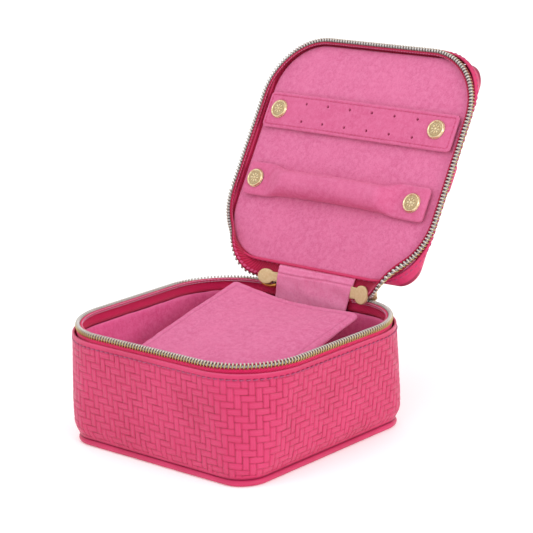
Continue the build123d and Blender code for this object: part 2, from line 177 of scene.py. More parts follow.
def tube(path, rad, sides=8, closed=False, caps=True, flat=1.0, up=None):
    """round or oval tube along a path: vertices, quads"""
    P = np.asarray(path, float)
    n = len(P)
    rad = np.broadcast_to(np.asarray(rad, float), (n,))
    T = (np.roll(P, -1, 0) - np.roll(P, 1, 0)) if closed else np.gradient(P, axis=0)
    T /= np.maximum(np.linalg.norm(T, axis=1, keepdims=True), 1e-12)
    if up is not None:
        U = np.broadcast_to(np.asarray(up, float), P.shape)
        B = np.cross(T, U)
        B /= np.maximum(np.linalg.norm(B, axis=1, keepdims=True), 1e-12)
        U = np.cross(B, T)
    else:
        U = np.zeros_like(P)
        u = np.cross(T[0], [0.31, 0.27, 0.91])
        u /= np.linalg.norm(u)
        for i in range(n):
            u = u - T[i] * (u @ T[i])
            u /= max(np.linalg.norm(u), 1e-12)
            U[i] = u
        B = np.cross(T, U)
    a = np.arange(sides) / sides * 2 * np.pi
    V = P[:, None] + rad[:, None, None] * (np.cos(a)[None, :, None] * B[:, None] + flat * np.sin(a)[None, :, None] * U[:, None])
    F = grid_faces(n, sides, closed, True)
    V = V.reshape(-1, 3)
    if not closed and caps:
        # rounded ends: pull the end rings in to points with one shrunken ring each
        e0 = P[0] - T[0] * rad[0] * 0.6 + (V[:sides] - P[0]) * 0.55
        e1 = P[-1] + T[-1] * rad[-1] * 0.6 + (V[-sides:] - P[-1]) * 0.55
        t0, t1 = P[0] - T[0] * rad[0] * 0.8, P[-1] + T[-1] * rad[-1] * 0.8
        k = len(V)
        V = np.concatenate([V, e0, e1, [t0], [t1]])
        s = np.arange(sides)
        s2 = (s + 1) % sides
        Fa = np.stack([s, k + s, k + s2, s2], -1)[:, ::-1]
        Fb = np.stack([k - sides + s, k + sides + s, k + sides + s2, k - sides + s2], -1)
        tri0 = np.stack([k + s, k + s2, np.full(sides, k + 2 * sides)], -1)
        tri1 = np.stack([k + sides + s2, k + sides + s, np.full(sides, k + 2 * sides + 1)], -1)
        F = np.concatenate([F, Fa[:, ::-1], Fb[:, ::-1]])
        return V, F, np.concatenate([tri0, tri1])
    return V, F, None


def add_tube(M, path, rad, sides=8, closed=False, flat=1.0, up=None, **att):
    V, F, T = tube(path, rad, sides, closed, True, flat, up)
    M.add(V, F, **att)
    if T is not None:
        M.T.append(T + M.n - len(V))
    return M


def rr(w, d, r, f):
    """rounded rectangle, f = share of its length from the back centre, anticlockwise
    seen from above: points and outward normals"""
    q = np.linspace(0, np.pi / 2, 60)
    a, b = w / 2 - r, d / 2 - r
    pts = [(0.0, d / 2)]
    for cx, cy, a0 in ((-a, b, np.pi / 2), (-a, -b, np.pi), (a, -b, 1.5 * np.pi), (a, b, 0.0)):
        pts += list(zip(cx + r * np.cos(a0 + q), cy + r * np.sin(a0 + q)))
    pts.append((0.0, d / 2))
    pts = np.array(pts)
    L = np.r_[0, np.cumsum(np.linalg.norm(np.diff(pts, axis=0), axis=1))]
    g = np.mod(f, 1.0) * L[-1]
    P = np.stack([np.interp(g, L, pts[:, 0]), np.interp(g, L, pts[:, 1])], -1)
    e = 0.25
    g1, g2 = np.mod(g + e, L[-1]), np.mod(g - e, L[-1])
    t = np.stack([np.interp(g1, L, pts[:, k]) - np.interp(g2, L, pts[:, k]) for k in (0, 1)], -1)
    t /= np.linalg.norm(t, axis=-1, keepdims=True)
    return P, np.stack([t[:, 1], -t[:, 0]], -1)


def rr_len(w, d, r):
    return 2 * (w + d) - (8 - 2 * np.pi) * r


def outline_at(table, z):
    """width, depth, radius of a wall at height z: smooth through the table's rows"""
    x = table[:, 3]
    h = np.diff(x)
    i = int(np.clip(np.searchsorted(x, z) - 1, 0, len(x) - 2))
    out = []
    for k in range(3):
        y = table[:, k]
        d = np.diff(y) / h
        m = np.zeros(len(x))
        m[0], m[-1] = d[0], d[-1]
        for j in range(1, len(x) - 1):
            m[j] = 2 * d[j - 1] * d[j] / (d[j - 1] + d[j]) if d[j - 1] * d[j] > 0 else 0.0
        t = min(max((z - x[i]) / h[i], 0.0), 1.0)
        out.append((2 * t ** 3 - 3 * t ** 2 + 1) * y[i] + (t ** 3 - 2 * t ** 2 + t) * h[i] * m[i]
                   + (3 * t ** 2 - 2 * t ** 3) * y[i + 1] + (t ** 3 - t ** 2) * h[i] * m[i + 1])
    return out


def spaced(n, total, edge, ne=6):
    """-1..1, finer in a band of width edge at both ends"""
    k = edge / total * 2
    a = -1 + k * (1 - np.cos(np.linspace(0, np.pi / 2, ne)))
    mid = np.linspace(a[-1], -a[-1], n)
    return np.concatenate([a[:-1], mid, -a[::-1][1:]])


def slab(W, D, r, nx, ny, t, edge=None, front=None, back=None, centre=(0, 0)):
    """closed sheet over a rounded rectangle: points with z in 0 +- t/2, rounded edges.
    front(x, y, e) and back(x, y, e) add height (+ is outwards). Returns V, F, info."""
    edge = edge or t / 2
    a, b = spaced(nx, W, edge), spaced(ny, D, edge)
    A, B = np.meshgrid(a, b, indexing="ij")
    y = B * D / 2
    over = np.clip((np.abs(y) - (D / 2 - r)) / max(r, 1e-9), 0, 1)
    hw = W / 2 - r * (1 - np.sqrt(1 - over ** 2))
    x = A * hw
    qx, qy = np.abs(x) - (W / 2 - r), np.abs(y) - (D / 2 - r)
    e = -(np.hypot(np.maximum(qx, 0), np.maximum(qy, 0)) + np.minimum(np.maximum(qx, qy), 0) - r)
    e = np.clip(e, 0, None)
    rim = np.zeros_like(e, bool)
    rim[0], rim[-1], rim[:, 0], rim[:, -1] = True, True, True, True
    e[rim] = 0.0
    k = np.clip(e / edge, 0, 1)
    prof = np.sqrt(np.clip(1 - (1 - k) ** 2, 0, 1))
    x, y = x + centre[0], y + centre[1]
    zf = t / 2 * prof + (front(x, y, e) * prof if front else 0)
    zb = -t / 2 * prof - (back(x, y, e) * prof if back else 0)
    n, m = A.shape
    Vf = np.stack([x, y, zf], -1).reshape(-1, 3)
    Vb = np.stack([x, y, zb], -1).reshape(-1, 3)
    Ff = grid_faces(n, m, flip=True)
    idx = np.arange(n * m)
    keep = ~rim.ravel()
    new = np.full(n * m, -1)
    new[keep] = n * m + np.arange(keep.sum())
    bmap = np.where(keep, new, idx)
    Fb = bmap[grid_faces(n, m)]
    V = np.concatenate([Vf, Vb[keep]])
    ee = np.concatenate([e.ravel(), e.ravel()[keep]])
    side = np.concatenate([np.ones(n * m), np.zeros(keep.sum())])
    return V, np.concatenate([Ff, Fb]), ee, side


def stitches(M, path, normals, pitch, length, r, lift=0.0, closed=False, arch=0.35, slant=0.0, **att):
    """thread stitches along a path, each one a small arched bead"""
    P = np.asarray(path, float)
    N = np.asarray(normals, float)
    seg = np.linalg.norm(np.diff(P, axis=0), axis=1)
    L = np.r_[0, np.cumsum(seg)]
    k = max(1, int(round(L[-1] / pitch)))
    c = (np.arange(k) + 0.5) * L[-1] / k
    u = np.linspace(-0.5, 0.5, 6)
    for ci in c:
        g = np.clip(ci + u * length, 0, L[-1])
        pp = np.stack([np.interp(g, L, P[:, a]) for a in range(3)], -1)
        nn = np.stack([np.interp(g, L, N[:, a]) for a in range(3)], -1)
        tt = pp[-1] - pp[0]
        bb = np.cross(nn[2], tt / max(np.linalg.norm(tt), 1e-9))
        hh = (lift + r * arch * (1 - (2 * u) ** 2) * 2 - r * 1.0 * (np.abs(2 * u) ** 6))[:, None]
        pp = pp + nn * hh + bb * (u * slant)[:, None]
        add_tube(M, pp, r * (1 - 0.25 * np.abs(2 * u) ** 3), 6, **att)
    return c


# ------------------------------------------------------------------ materials
def lin(c):
    return tuple(0.85 * ((v / 255) / 12.92 if v / 255 <= 0.04045 else ((v / 255 + 0.055) / 1.055) ** 2.4) for v in c) + (1.0,)


class Mat:
    def __init__(self, name):
        self.m = bpy.data.materials.new(name)
        self.m.use_nodes = True
        self.t = self.m.node_tree
        self.t.nodes.clear()
        self.out = self.t.nodes.new("ShaderNodeOutputMaterial")
        self.p = self.t.nodes.new("ShaderNodeBsdfPrincipled")
        self.t.links.new(self.p.outputs[0], self.out.inputs[0])

    def put(self, sock, v):
        if isinstance(v, bpy.types.NodeSocket):
            self.t.links.new(v, sock)
        elif v is not None:
            sock.default_value = v

    def set(self, **kw):
        for k, v in kw.items():
            self.put(self.p.inputs[k.replace("_", " ")], v)
        return self

    def coord(self, which="Object"):
        if not hasattr(self, "_tc"):
            self._tc = self.t.nodes.new("ShaderNodeTexCoord")
        return self._tc.outputs[which]

    def attr(self, name):
        n = self.t.nodes.new("ShaderNodeAttribute")
        n.attribute_name = name
        return n.outputs["Fac"]

    def noise(self, scale, detail=3.0, rough=0.55, vec=None, dist=0.0):
        n = self.t.nodes.new("ShaderNodeTexNoise")
        self.put(n.inputs["Vector"], vec or self.coord())
        n.inputs["Scale"].default_value = scale
        n.inputs["Detail"].default_value = detail
        n.inputs["Roughness"].default_value = rough
        n.inputs["Distortion"].default_value = dist
        return n.outputs["Fac"]

    def voronoi(self, scale, vec=None, feature="F1", out="Distance", rnd=1.0):
        n = self.t.nodes.new("ShaderNodeTexVoronoi")
        n.feature = feature
        self.put(n.inputs["Vector"], vec or self.coord())
        n.inputs["Scale"].default_value = scale
        n.inputs["Randomness"].default_value = rnd
        return n.outputs[out]

    def math(self, op, a, b=None, c=None, clamp=False):
        n = self.t.nodes.new("ShaderNodeMath")
        n.operation = op
        n.use_clamp = clamp
        for s, v in zip(n.inputs, (a, b, c)):
            self.put(s, v)
        return n.outputs[0]

    def ramp(self, v, a, b, lo=0.0, hi=1.0):
        n = self.t.nodes.new("ShaderNodeMapRange")
        n.interpolation_type = "SMOOTHSTEP"
        self.put(n.inputs["Value"], v)
        for k, x in (("From Min", a), ("From Max", b), ("To Min", lo), ("To Max", hi)):
            n.inputs[k].default_value = x
        return n.outputs[0]

    def mix(self, fac, a, b, mode="MIX"):
        n = self.t.nodes.new("ShaderNodeMix")
        n.data_type = "RGBA"
        n.blend_type = mode
        self.put(n.inputs[0], fac)
        self.put(n.inputs[6], a)
        self.put(n.inputs[7], b)
        return n.outputs[2]

    def stretch(self, sx, sy, sz, vec=None):
        n = self.t.nodes.new("ShaderNodeMapping")
        self.put(n.inputs["Vector"], vec or self.coord())
        n.inputs["Scale"].default_value = (sx, sy, sz)
        return n.outputs[0]

    def bump(self, h, dist, strength=1.0, normal=None):
        n = self.t.nodes.new("ShaderNodeBump")
        n.inputs["Strength"].default_value = strength
        n.inputs["Distance"].default_value = dist
        self.put(n.inputs["Height"], h)
        if normal is not None:
            self.put(n.inputs["Normal"], normal)
        return n.outputs[0]


# leather tone, then the painted shade colour for the weave's grooves, then the painted highlight colour for the strand
# tops
LEATHER_C, LEATHER_SHADE, LEATHER_HIGHLIGHT = (213, 38, 99), (156, 10, 54), (227, 72, 124)
SUEDE_C, SUEDE_D, SUEDE_L = (227, 117, 161), (211, 95, 143), (239, 141, 183)


def leather_material(name, woven=False, dark=0.0):
    k = Mat(name)
    tone = k.noise(38.0, 3.0)
    peb = k.voronoi(1250.0, feature="SMOOTH_F1")
    peb2 = k.noise(2600.0, 2.0)
    col = k.mix(k.ramp(tone, 0.35, 0.68), lin(tuple(c - 8 for c in LEATHER_C)), lin(tuple(min(255, c + 7) for c in LEATHER_C)))
    h = k.math("ADD", k.math("MULTIPLY", peb, 0.6), k.math("MULTIPLY", peb2, 0.35))
    if woven:
        wv, ish = k.attr("wv"), k.attr("ish")
        su, tv = k.attr("su"), k.attr("tv")
        fade = k.attr("fade")
        ph = k.math("ADD", k.math("MULTIPLY", ish, tv), k.math("MULTIPLY", k.math("SUBTRACT", 1.0, ish), su))
        rib = k.math("SINE", k.math("MULTIPLY", ph, 2 * math.pi * 3.0))
        rib = k.math("MULTIPLY", rib, k.math("MULTIPLY", fade, 0.34))
        h = k.math("ADD", h, rib)
        # painted shade: darker in the weave's grooves where the strands dip
        groove_shade = k.math("MULTIPLY", k.math("SUBTRACT", 1.0, k.ramp(wv, 0.05, 0.8)), fade, clamp=True)
        col = k.mix(groove_shade, col, lin(LEATHER_SHADE))
        # painted highlight on the tops of the strands
        top = k.math("MULTIPLY", k.ramp(wv, 0.82, 1.0), k.math("MULTIPLY", fade, 0.30))
        col = k.mix(top, col, lin(LEATHER_HIGHLIGHT))
        # painted shade in the troughs of the fine ribs
        rib_trough_shade = k.math("MULTIPLY", k.ramp(rib, -0.34, 0.05, 0.30, 0.0), fade)
        col = k.mix(rib_trough_shade, col, lin((204, 42, 98)))
    # painted shade: darker where the mesh marks holes, creases and gaps under other parts
    col = k.mix(k.attr("dark"), col, lin((120, 6, 46)))
    # lighter on edges, folds and crests: edge wear and painted highlight
    col = k.mix(k.attr("worn"), col, lin((240, 118, 160)))
    if dark:
        col = k.mix(dark, col, lin(LEATHER_SHADE))
    rough = k.ramp(k.noise(260.0, 3.0), 0.3, 0.7, 0.40, 0.52)
    k.set(Base_Color=col, Roughness=rough, Normal=k.bump(h, 0.00022, 0.55), Specular_IOR_Level=0.45, Sheen_Weight=0.04)
    return k.m


def suede_material(name, base=SUEDE_C, light=SUEDE_L, darkc=SUEDE_D, nap=1.0):
    k = Mat(name)
    big = k.noise(45.0, 3.0, 0.6)
    mid = k.noise(420.0, 5.0, 0.72)
    fine = k.noise(1300.0, 3.0, 0.7)
    fib = k.noise(3400.0, 2.0, 0.6)
    col = k.mix(k.ramp(mid, 0.36, 0.66), lin(darkc), lin(light))
    col = k.mix(0.55, col, lin(base))
    col = k.mix(k.ramp(big, 0.3, 0.72, 0.0, 0.45), col, lin(tuple(min(255, c + 10) for c in base)))
    col = k.mix(k.ramp(fine, 0.45, 0.75, 0.0, 0.40 * nap), col, lin(light))
    col = k.mix(k.ramp(fine, 0.25, 0.48, 0.40 * nap, 0.0), col, lin(tuple(int(c * 0.86) for c in darkc)))
    # painted shade: darker in creases, holes and stitch grooves marked on the mesh
    col = k.mix(k.attr("dark"), col, lin((140, 10, 62)))
    # lighter on edges, tops and crests: edge wear and painted highlight
    col = k.mix(k.attr("worn"), col, lin((248, 158, 200)))
    h = k.math("ADD", k.math("MULTIPLY", fine, 0.7), k.math("ADD", k.math("MULTIPLY", mid, 0.5), k.math("MULTIPLY", fib, 0.4)))
    k.set(Base_Color=col, Roughness=0.93, Normal=k.bump(h, 0.00035, 0.5), Sheen_Weight=0.22, Sheen_Roughness=0.45,
          Sheen_Tint=lin((255, 205, 222)), Specular_IOR_Level=0.12)
    return k.m


def tape_material(name, a=(168, 12, 58), b=(208, 30, 84), c=(190, 20, 70)):
    k = Mat(name)
    su, tv = k.attr("su"), k.attr("tv")
    d = k.math("SINE", k.math("MULTIPLY", k.math("ADD", su, tv), 2 * math.pi))
    w = k.math("SINE", k.math("MULTIPLY", k.math("SUBTRACT", su, k.math("MULTIPLY", tv, 0.5)), 4 * math.pi))
    h = k.math("ADD", d, k.math("MULTIPLY", w, 0.5))
    col = k.mix(k.ramp(d, -1, 1), lin(a), lin(b))
    col = k.mix(k.ramp(k.noise(70.0), 0.35, 0.7, 0.0, 0.35), col, lin(c))
    k.set(Base_Color=col, Roughness=0.78, Normal=k.bump(h, 0.00012, 0.8), Sheen_Weight=0.15, Specular_IOR_Level=0.2)
    return k.m


def thread_material(name, a, b):
    k = Mat(name)
    t = k.noise(2200.0, 2.0)
    col = k.mix(k.ramp(t, 0.35, 0.65), lin(a), lin(b))
    k.set(Base_Color=col, Roughness=0.55, Normal=k.bump(t, 0.0001, 0.6), Sheen_Weight=0.15)
    return k.m


def metal_material(name, a, b, rough=0.3, metallic=0.9, grain=900.0):
    k = Mat(name)
    n = k.noise(grain, 3.0)
    l = k.noise(120.0, 2.0)
    col = k.mix(k.ramp(n, 0.3, 0.7), lin(a), lin(b))
    # painted shade: browner between the slider plates and in the low parts of the caps' relief
    col = k.mix(k.attr("dark"), col, lin((120, 78, 34)))
    r = k.ramp(l, 0.3, 0.7, rough, rough + 0.10)
    k.set(Base_Color=col, Metallic=metallic, Roughness=r, Normal=k.bump(n, 0.00003, 0.5))
    return k.m


def coil_material(name):
    k = Mat(name)
    head = k.attr("head")
    n = k.noise(1800.0, 2.0)
    # gold legs; the tooth heads pale silver-white: painted highlight on the coil's tips
    col = k.mix(head, lin((206, 176, 108)), lin((222, 218, 216)))
    col = k.mix(k.attr("inner"), col, lin((176, 170, 172)))
    col = k.mix(k.ramp(n, 0.3, 0.7, 0.0, 0.25), col, lin((150, 128, 96)))
    k.set(Base_Color=col, Metallic=0.72, Roughness=0.34, Normal=k.bump(n, 0.00003, 0.4))
    return k.m


M_WOVEN = leather_material("leather_woven", woven=True)
M_LEATHER = leather_material("leather_plain")
M_SUEDE = suede_material("suede_lining")
M_SUEDE2 = suede_material("suede_strap", base=(222, 105, 150), light=(232, 128, 170), darkc=(208, 84, 132), nap=0.8)
# a lighter copy of the lining suede for the hinge cover: painted light where the cover faces the lamps
M_SUEDE_COVER_LIT = suede_material("suede_cover_painted_lit", base=(251, 143, 188), light=(255, 165, 205), darkc=(238, 121, 168))
M_SUEDE4 = suede_material("suede_inside", base=(248, 102, 160), light=(252, 128, 182), darkc=(232, 82, 142))
M_TAPE = tape_material("zip_tape_woven")
# a brighter copy of the zip tape for the base half: painted light against the occlusion shade inside the case
M_TAPE_LIT = tape_material("zip_tape_base_painted_lit", (226, 20, 84), (248, 48, 116), (238, 32, 100))
M_THREAD = thread_material("thread_mauve", (158, 50, 98), (180, 72, 120))
M_THREAD_P = thread_material("thread_pale", (232, 130, 176), (246, 176, 206))
# a darker copy of the pale coil thread for the lid's tape: painted shade
M_THREAD_SHADED = thread_material("thread_lid_tape_shaded", (212, 84, 132), (228, 112, 158))
M_THREAD_S = thread_material("thread_tonal", (206, 48, 108), (222, 74, 130))
M_COIL = coil_material("zip_coil_metal")
M_CORE = metal_material("zip_core_grey", (150, 146, 150), (186, 182, 184), 0.5, 0.4)
M_GOLD = metal_material("pale_gold_satin", (228, 200, 148), (238, 214, 166), 0.46, 0.35)
M_CAP = metal_material("pale_gold_cap", (234, 206, 156), (252, 234, 192), 0.22, 0.9)
# a deeper gold copy of the slider metal: painted reflection and shade under the left slider
M_GOLD_REFLECTION = metal_material("gold_deep_painted_reflection", (214, 150, 70), (228, 170, 92), 0.30, 0.95)
M_BOARD = thread_material("board_grey", (140, 120, 96), (160, 138, 112))
M_FOAM = thread_material("foam_cream", (226, 214, 190), (238, 228, 206))


def give(o, body, slot, *nodes_):
    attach(o, body)
    if nodes_:
        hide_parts(*nodes_)
    return o


for n, o in nodes.items():
    mat = {"board": M_BOARD, "foam": M_FOAM}.get
    rec = [s for s in frame["record"]["subparts"] if s["node"] == n]
    s = rec[0].get("material_slot") if rec else ""
    m = {"board": M_BOARD, "foam": M_FOAM, "piping_cord": M_FOAM, "brass": M_GOLD, "zip_coil": M_COIL, "zip_tape": M_TAPE,
         "suede": M_SUEDE, "leather": M_LEATHER, "leather_embossed": M_LEATHER}.get(s, M_LEATHER)
    o.data.materials.clear()
    o.data.materials.append(m)


# ------------------------------------------------------------------ woven leather
UNITS = 140


def twill(s, t):
    """2/2 twill: height 0..1, and 1 where the strand along s is on top"""
    i, j = np.floor(s), np.floor(t)
    fs, ft = s - i, t - j
    cH = j + 1.0
    dH = np.mod(s - cH + 2.0, 4.0) - 2.0
    cV = i - 2.0
    dV = np.mod(t - cV + 2.0, 4.0) - 2.0
    up = lambda d: np.clip(2.3 * np.cos(np.clip(np.pi * d / 2.24, -np.pi / 2, np.pi / 2)), 0, 1) ** 0.8
    edge = lambda q: np.clip(1 - np.abs(2 * q - 1) ** 6, 0, 1)
    H, V = up(dH) * edge(ft), up(dV) * edge(fs)
    return np.maximum(H, V), (H >= V).astype(float)


def woven_ring(rows_z, table, top_edge, f, depth=0.42, name="x", inner=None, z_fade=None, stitch_z=None):
    zs = np.asarray(rows_z, float)
    P = np.zeros((len(zs), len(f), 3))
    for k, z in enumerate(zs):
        w, d, r = outline_at(table, z)
        p, _ = rr(w, d, r, f)
        P[k, :, :2], P[k, :, 2] = p, z
    return P


def base_wall():
    nf = UNITS * 8
    f = np.arange(nf) / nf
    z1, z0 = 53.0, 3.46
    zs = np.linspace(z1 - 0.25, z0 + 0.25, 128)
    P = woven_ring(zs, BASE_T, None, f)
    N = grid_normals(P, False, True)
    if (N[:, :, :2] * P[:, :, :2]).sum() < 0:
        N = -N
    S = np.broadcast_to(f * UNITS, P.shape[:2])
    arc = np.r_[0, np.cumsum(np.linalg.norm(np.diff(P[:, 0], axis=0), axis=1))]
    T = np.broadcast_to(((arc + 0.25) / 3.17)[:, None], P.shape[:2])
    # hand-laid leather is never quite straight
    wob = soft_noise(P, 40.0)
    h, ish = twill(S + 0.10 * wob, T + 0.12 * soft_noise(P[:, :, [1, 2, 0]], 30.0))
    fade = ss((z1 - P[:, :, 2] - 2.7) / 1.1) * ss((P[:, :, 2] - z0 - 0.7) / 1.2)
    disp = -0.44 * (1 - h) * fade - 0.05 + 0.10 * soft_noise(P, 16.0) * 0.5
    disp -= 0.20 * (1 + soft_noise(P, 60.0)) * 0.5
    # topstitch: a shallow furrow with a needle hole at each end of every stitch
    Lrim = 448.0
    pitch = 3.1
    ns = int(round(Lrim / pitch))
    ph = np.mod(f * ns, 1.0)
    dz = np.abs(P[:, :, 2] - 50.35)
    furrow = np.exp(-(dz / 0.45) ** 2)
    hole = np.exp(-(dz / 0.36) ** 2) * np.exp(-((np.minimum(ph, 1 - ph)[None, :] * pitch) / 0.36) ** 2)
    disp = disp - 0.16 * furrow - 0.45 * hole
    Pd = P + N * disp[..., None]
    # rolled top edge and the part turned down inside; turned-in bottom edge
    top = []
    for k, (dr, z) in enumerate(((0.10, 52.88), (0.32, 53.0), (0.62, 53.02), (0.92, 52.96), (1.12, 52.7), (1.2, 52.0), (1.2, 50.2))):
        w, d, r = outline_at(BASE_T, 53.0)
        p, _ = rr(w - 2 * dr, d - 2 * dr, r - dr, f)
        top.append(np.concatenate([p, np.full((nf, 1), z)], 1))
    bot = []
    for dr, z in ((0.25, 3.40), (0.8, 3.30), (1.6, 3.28), (2.6, 3.30)):
        w, d, r = outline_at(BASE_T, 3.46)
        p, _ = rr(w - 2 * dr, d - 2 * dr, r - dr, f)
        bot.append(np.concatenate([p, np.full((nf, 1), z)], 1))
    allP = np.concatenate([np.array(top[::-1]), Pd, np.array(bot)])
    pad = lambda A, v0, v1: np.concatenate([np.full((len(top), nf), v0), A, np.full((len(bot), nf), v1)])
    # lighter rolled top edge: edge wear and painted highlight; darker needle holes and bottom edge by the piping:
    # painted shade
    worn = pad(0.22 * ss((P[:, :, 2] - 52.0) / 0.9), 0.25, 0.0)
    dark = pad(np.clip(hole * 1.2, 0, 1) * 0.9 + 0.5 * ss((4.6 - P[:, :, 2]) / 0.9), 0.0, 0.85)
    M = Mesh()
    M.add(allP, grid_faces(allP.shape[0], nf, False, True, flip=False), wv=pad(h, 1, 1), ish=pad(ish, 0, 0), fade=pad(fade, 0, 0),
          su=pad(S, 0, 0), tv=pad(T, 0, 0), dark=dark, worn=worn)
    o = M.obj("wall_leather_woven", M_WOVEN)
    give(o, "base", "leather_embossed", "base_wall_leather", "base_wall_board")
    # the thread
    fs = np.linspace(0, 1, 1800)
    w, d, r = outline_at(BASE_T, 50.35)
    p, nn = rr(w, d, r, fs)
    path = np.concatenate([p, np.full((len(p), 1), 50.35)], 1)
    nrm = np.concatenate([nn, np.zeros((len(p), 1))], 1)
    # whole run split at the spine
    M = Mesh()
    stitches(M, path, nrm, 448.0 / ns, 2.35, 0.27, lift=-0.12, slant=0.25)
    give(M.obj("wall_topstitch", M_THREAD), "base", "leather_embossed")


def ring_cord(w, d, r, z, rad, f=None, n=900, wob=0.05):
    f = np.arange(n) / n if f is None else f
    p, _ = rr(w, d, r, f)
    P = np.concatenate([p, np.full((len(p), 1), z)], 1)
    return P


def piping(name, w, d, r, z, body, hide, lid=False):
    n = 900
    P = ring_cord(w, d, r, z, PIPE_R, n=n)
    rad = PIPE_R - 0.06 + 0.05 * soft_noise(P, 5.0) * 0.6
    up = (0, 0, 1)
    V, F, _ = tube(P, rad, 18, True, False, up=up)
    a = np.arange(18) / 18 * 2 * np.pi
    G = V.reshape(n, 18, 3)
    # painted shade on the side that meets the wall; a lighter band round the bulge: wear and painted highlight
    M = Mesh()
    ang = np.broadcast_to(a[None], (n, 18))
    inner = np.clip(np.cos(ang) * 0, 0, 1)
    dk = np.zeros((n, 18))
    sgn = -1 if lid else 1
    rel = sgn * (G[:, :, 2] - P[:, None, 2]) / PIPE_R
    dk = 0.55 * ss((rel - 0.72) / 0.25)
    wn = 0.10 * ss((0.2 - np.abs(rel)) / 0.3)
    V = G.reshape(-1, 3)
    if lid:
        V = swing(V)
    M.add(V, F, dark=dk, worn=wn, wv=1.0, fade=0.0)
    o = M.obj(name, M_LEATHER)
    give(o, body, "leather", *hide)
    return o


# ------------------------------------------------------------------ zip
TOOTH = np.array([(-0.42, -0.20, 0.20), (-0.27, 0.72, 0.38), (-0.14, 0.86, 1.05), (-0.03, 0.84, 1.85), (0.02, 0.56, 2.52), (0.03, 0.0, 2.74),
                  (0.04, -0.56, 2.52), (0.09, -0.84, 1.85), (0.20, -0.86, 1.05), (0.33, -0.72, 0.38), (0.45, -0.30, 0.14)])
TOOTH_R = np.array([0.28, 0.31, 0.33, 0.36, 0.46, 0.50, 0.46, 0.36, 0.33, 0.31, 0.28])
TOOTH_H = np.array([0, 0, 0.0, 0.12, 0.75, 1, 0.95, 0.7, 0.5, 0.4, 0.3])
TOOTH_I = np.array([0.4, 0, 0, 0, 0, 0, 0.15, 0.6, 0.8, 0.9, 0.8])


def coil_path(f0, f1, z0, sign):
    """the coil's wire from share f0 to f1 of the rim; sign +1 heads up, -1 heads down"""
    L = rr_len(RIM_W - 2.3, RIM_D - 2.3, RIM_R - 1.15)
    k = int((f1 - f0) * L / COIL_P)
    c = f0 * L + (np.arange(k) + 0.5) * COIL_P
    s = (c[:, None] + TOOTH[None, :, 0] * COIL_P).ravel()
    n = np.tile(TOOTH[:, 1], k)
    h = np.tile(TOOTH[:, 2], k)
    rad, head, inn = np.tile(TOOTH_R, k), np.tile(TOOTH_H, k), np.tile(TOOTH_I, k)
    p, nn = rr(RIM_W - 2.3, RIM_D - 2.3, RIM_R - 1.15, s / L)
    P = np.concatenate([p + nn * n[:, None], (z0 + sign * h)[:, None]], 1)
    core_s = np.linspace(f0 * L, f1 * L, max(8, int((f1 - f0) * 500)))
    pc, _ = rr(RIM_W - 2.3, RIM_D - 2.3, RIM_R - 1.15, core_s / L)
    C = np.concatenate([pc, np.full((len(pc), 1), z0 + sign * 1.35)], 1)
    return P, rad, head, inn, C


def w_rear(P):
    """share of the lid's turn that the zip takes between slider and lid corner"""
    return ss((np.abs(P[..., 0]) - 31.0) / 27.0)


def rear_tape_rest(V):
    """the tape between slider and corner runs straight from the coil to the lid's edge"""
    wx = w_rear(V)
    v = np.clip((V[:, 2] - 58.4) / 4.5, 0, 1)
    lo, hi = V.copy(), V.copy()
    hi[:, 2] = np.maximum(V[:, 2], 62.4)
    R = swing(lo, wx) * (1 - v)[:, None] + swing(hi, 1.0) * v[:, None]
    return R, wx + (1 - wx) * v


def set_blend(o):
    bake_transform(o)


def coil(name, f0, f1, z0, sign, mode, hide=()):
    P, rad, head, inn, C = coil_path(f0, f1, z0, sign)
    M = Mesh()
    V, F, T = tube(P, rad, 7, False, True)
    rep = lambda a: np.concatenate([np.repeat(a, 7), np.full(len(V) - 7 * len(a), a[-1])])
    M.add(V, F, head=rep(head), inner=rep(inn))
    M.T.append(T + M.n - len(V))
    o_core = Mesh()
    add_tube(o_core, C, 0.62, 8, up=(0, 0, 1))
    out = []
    for m, nm, mat in ((M, name, M_COIL), (o_core, name + "_core", M_CORE)):
        Vc = np.concatenate(m.V)
        if mode == "base":
            o = m.obj(nm, mat)
            give(o, "base", "zip_coil")
        elif mode == "lid":
            m.V = [swing(Vc)]
            o = m.obj(nm, mat)
            give(o, "lid", "zip_coil")
        else:
            w = w_rear(Vc)
            m.V = [swing(Vc, w)]
            o = m.obj(nm, mat)
            set_blend(o)
        out.append(o)
    if hide:
        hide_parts(*hide)
    return out


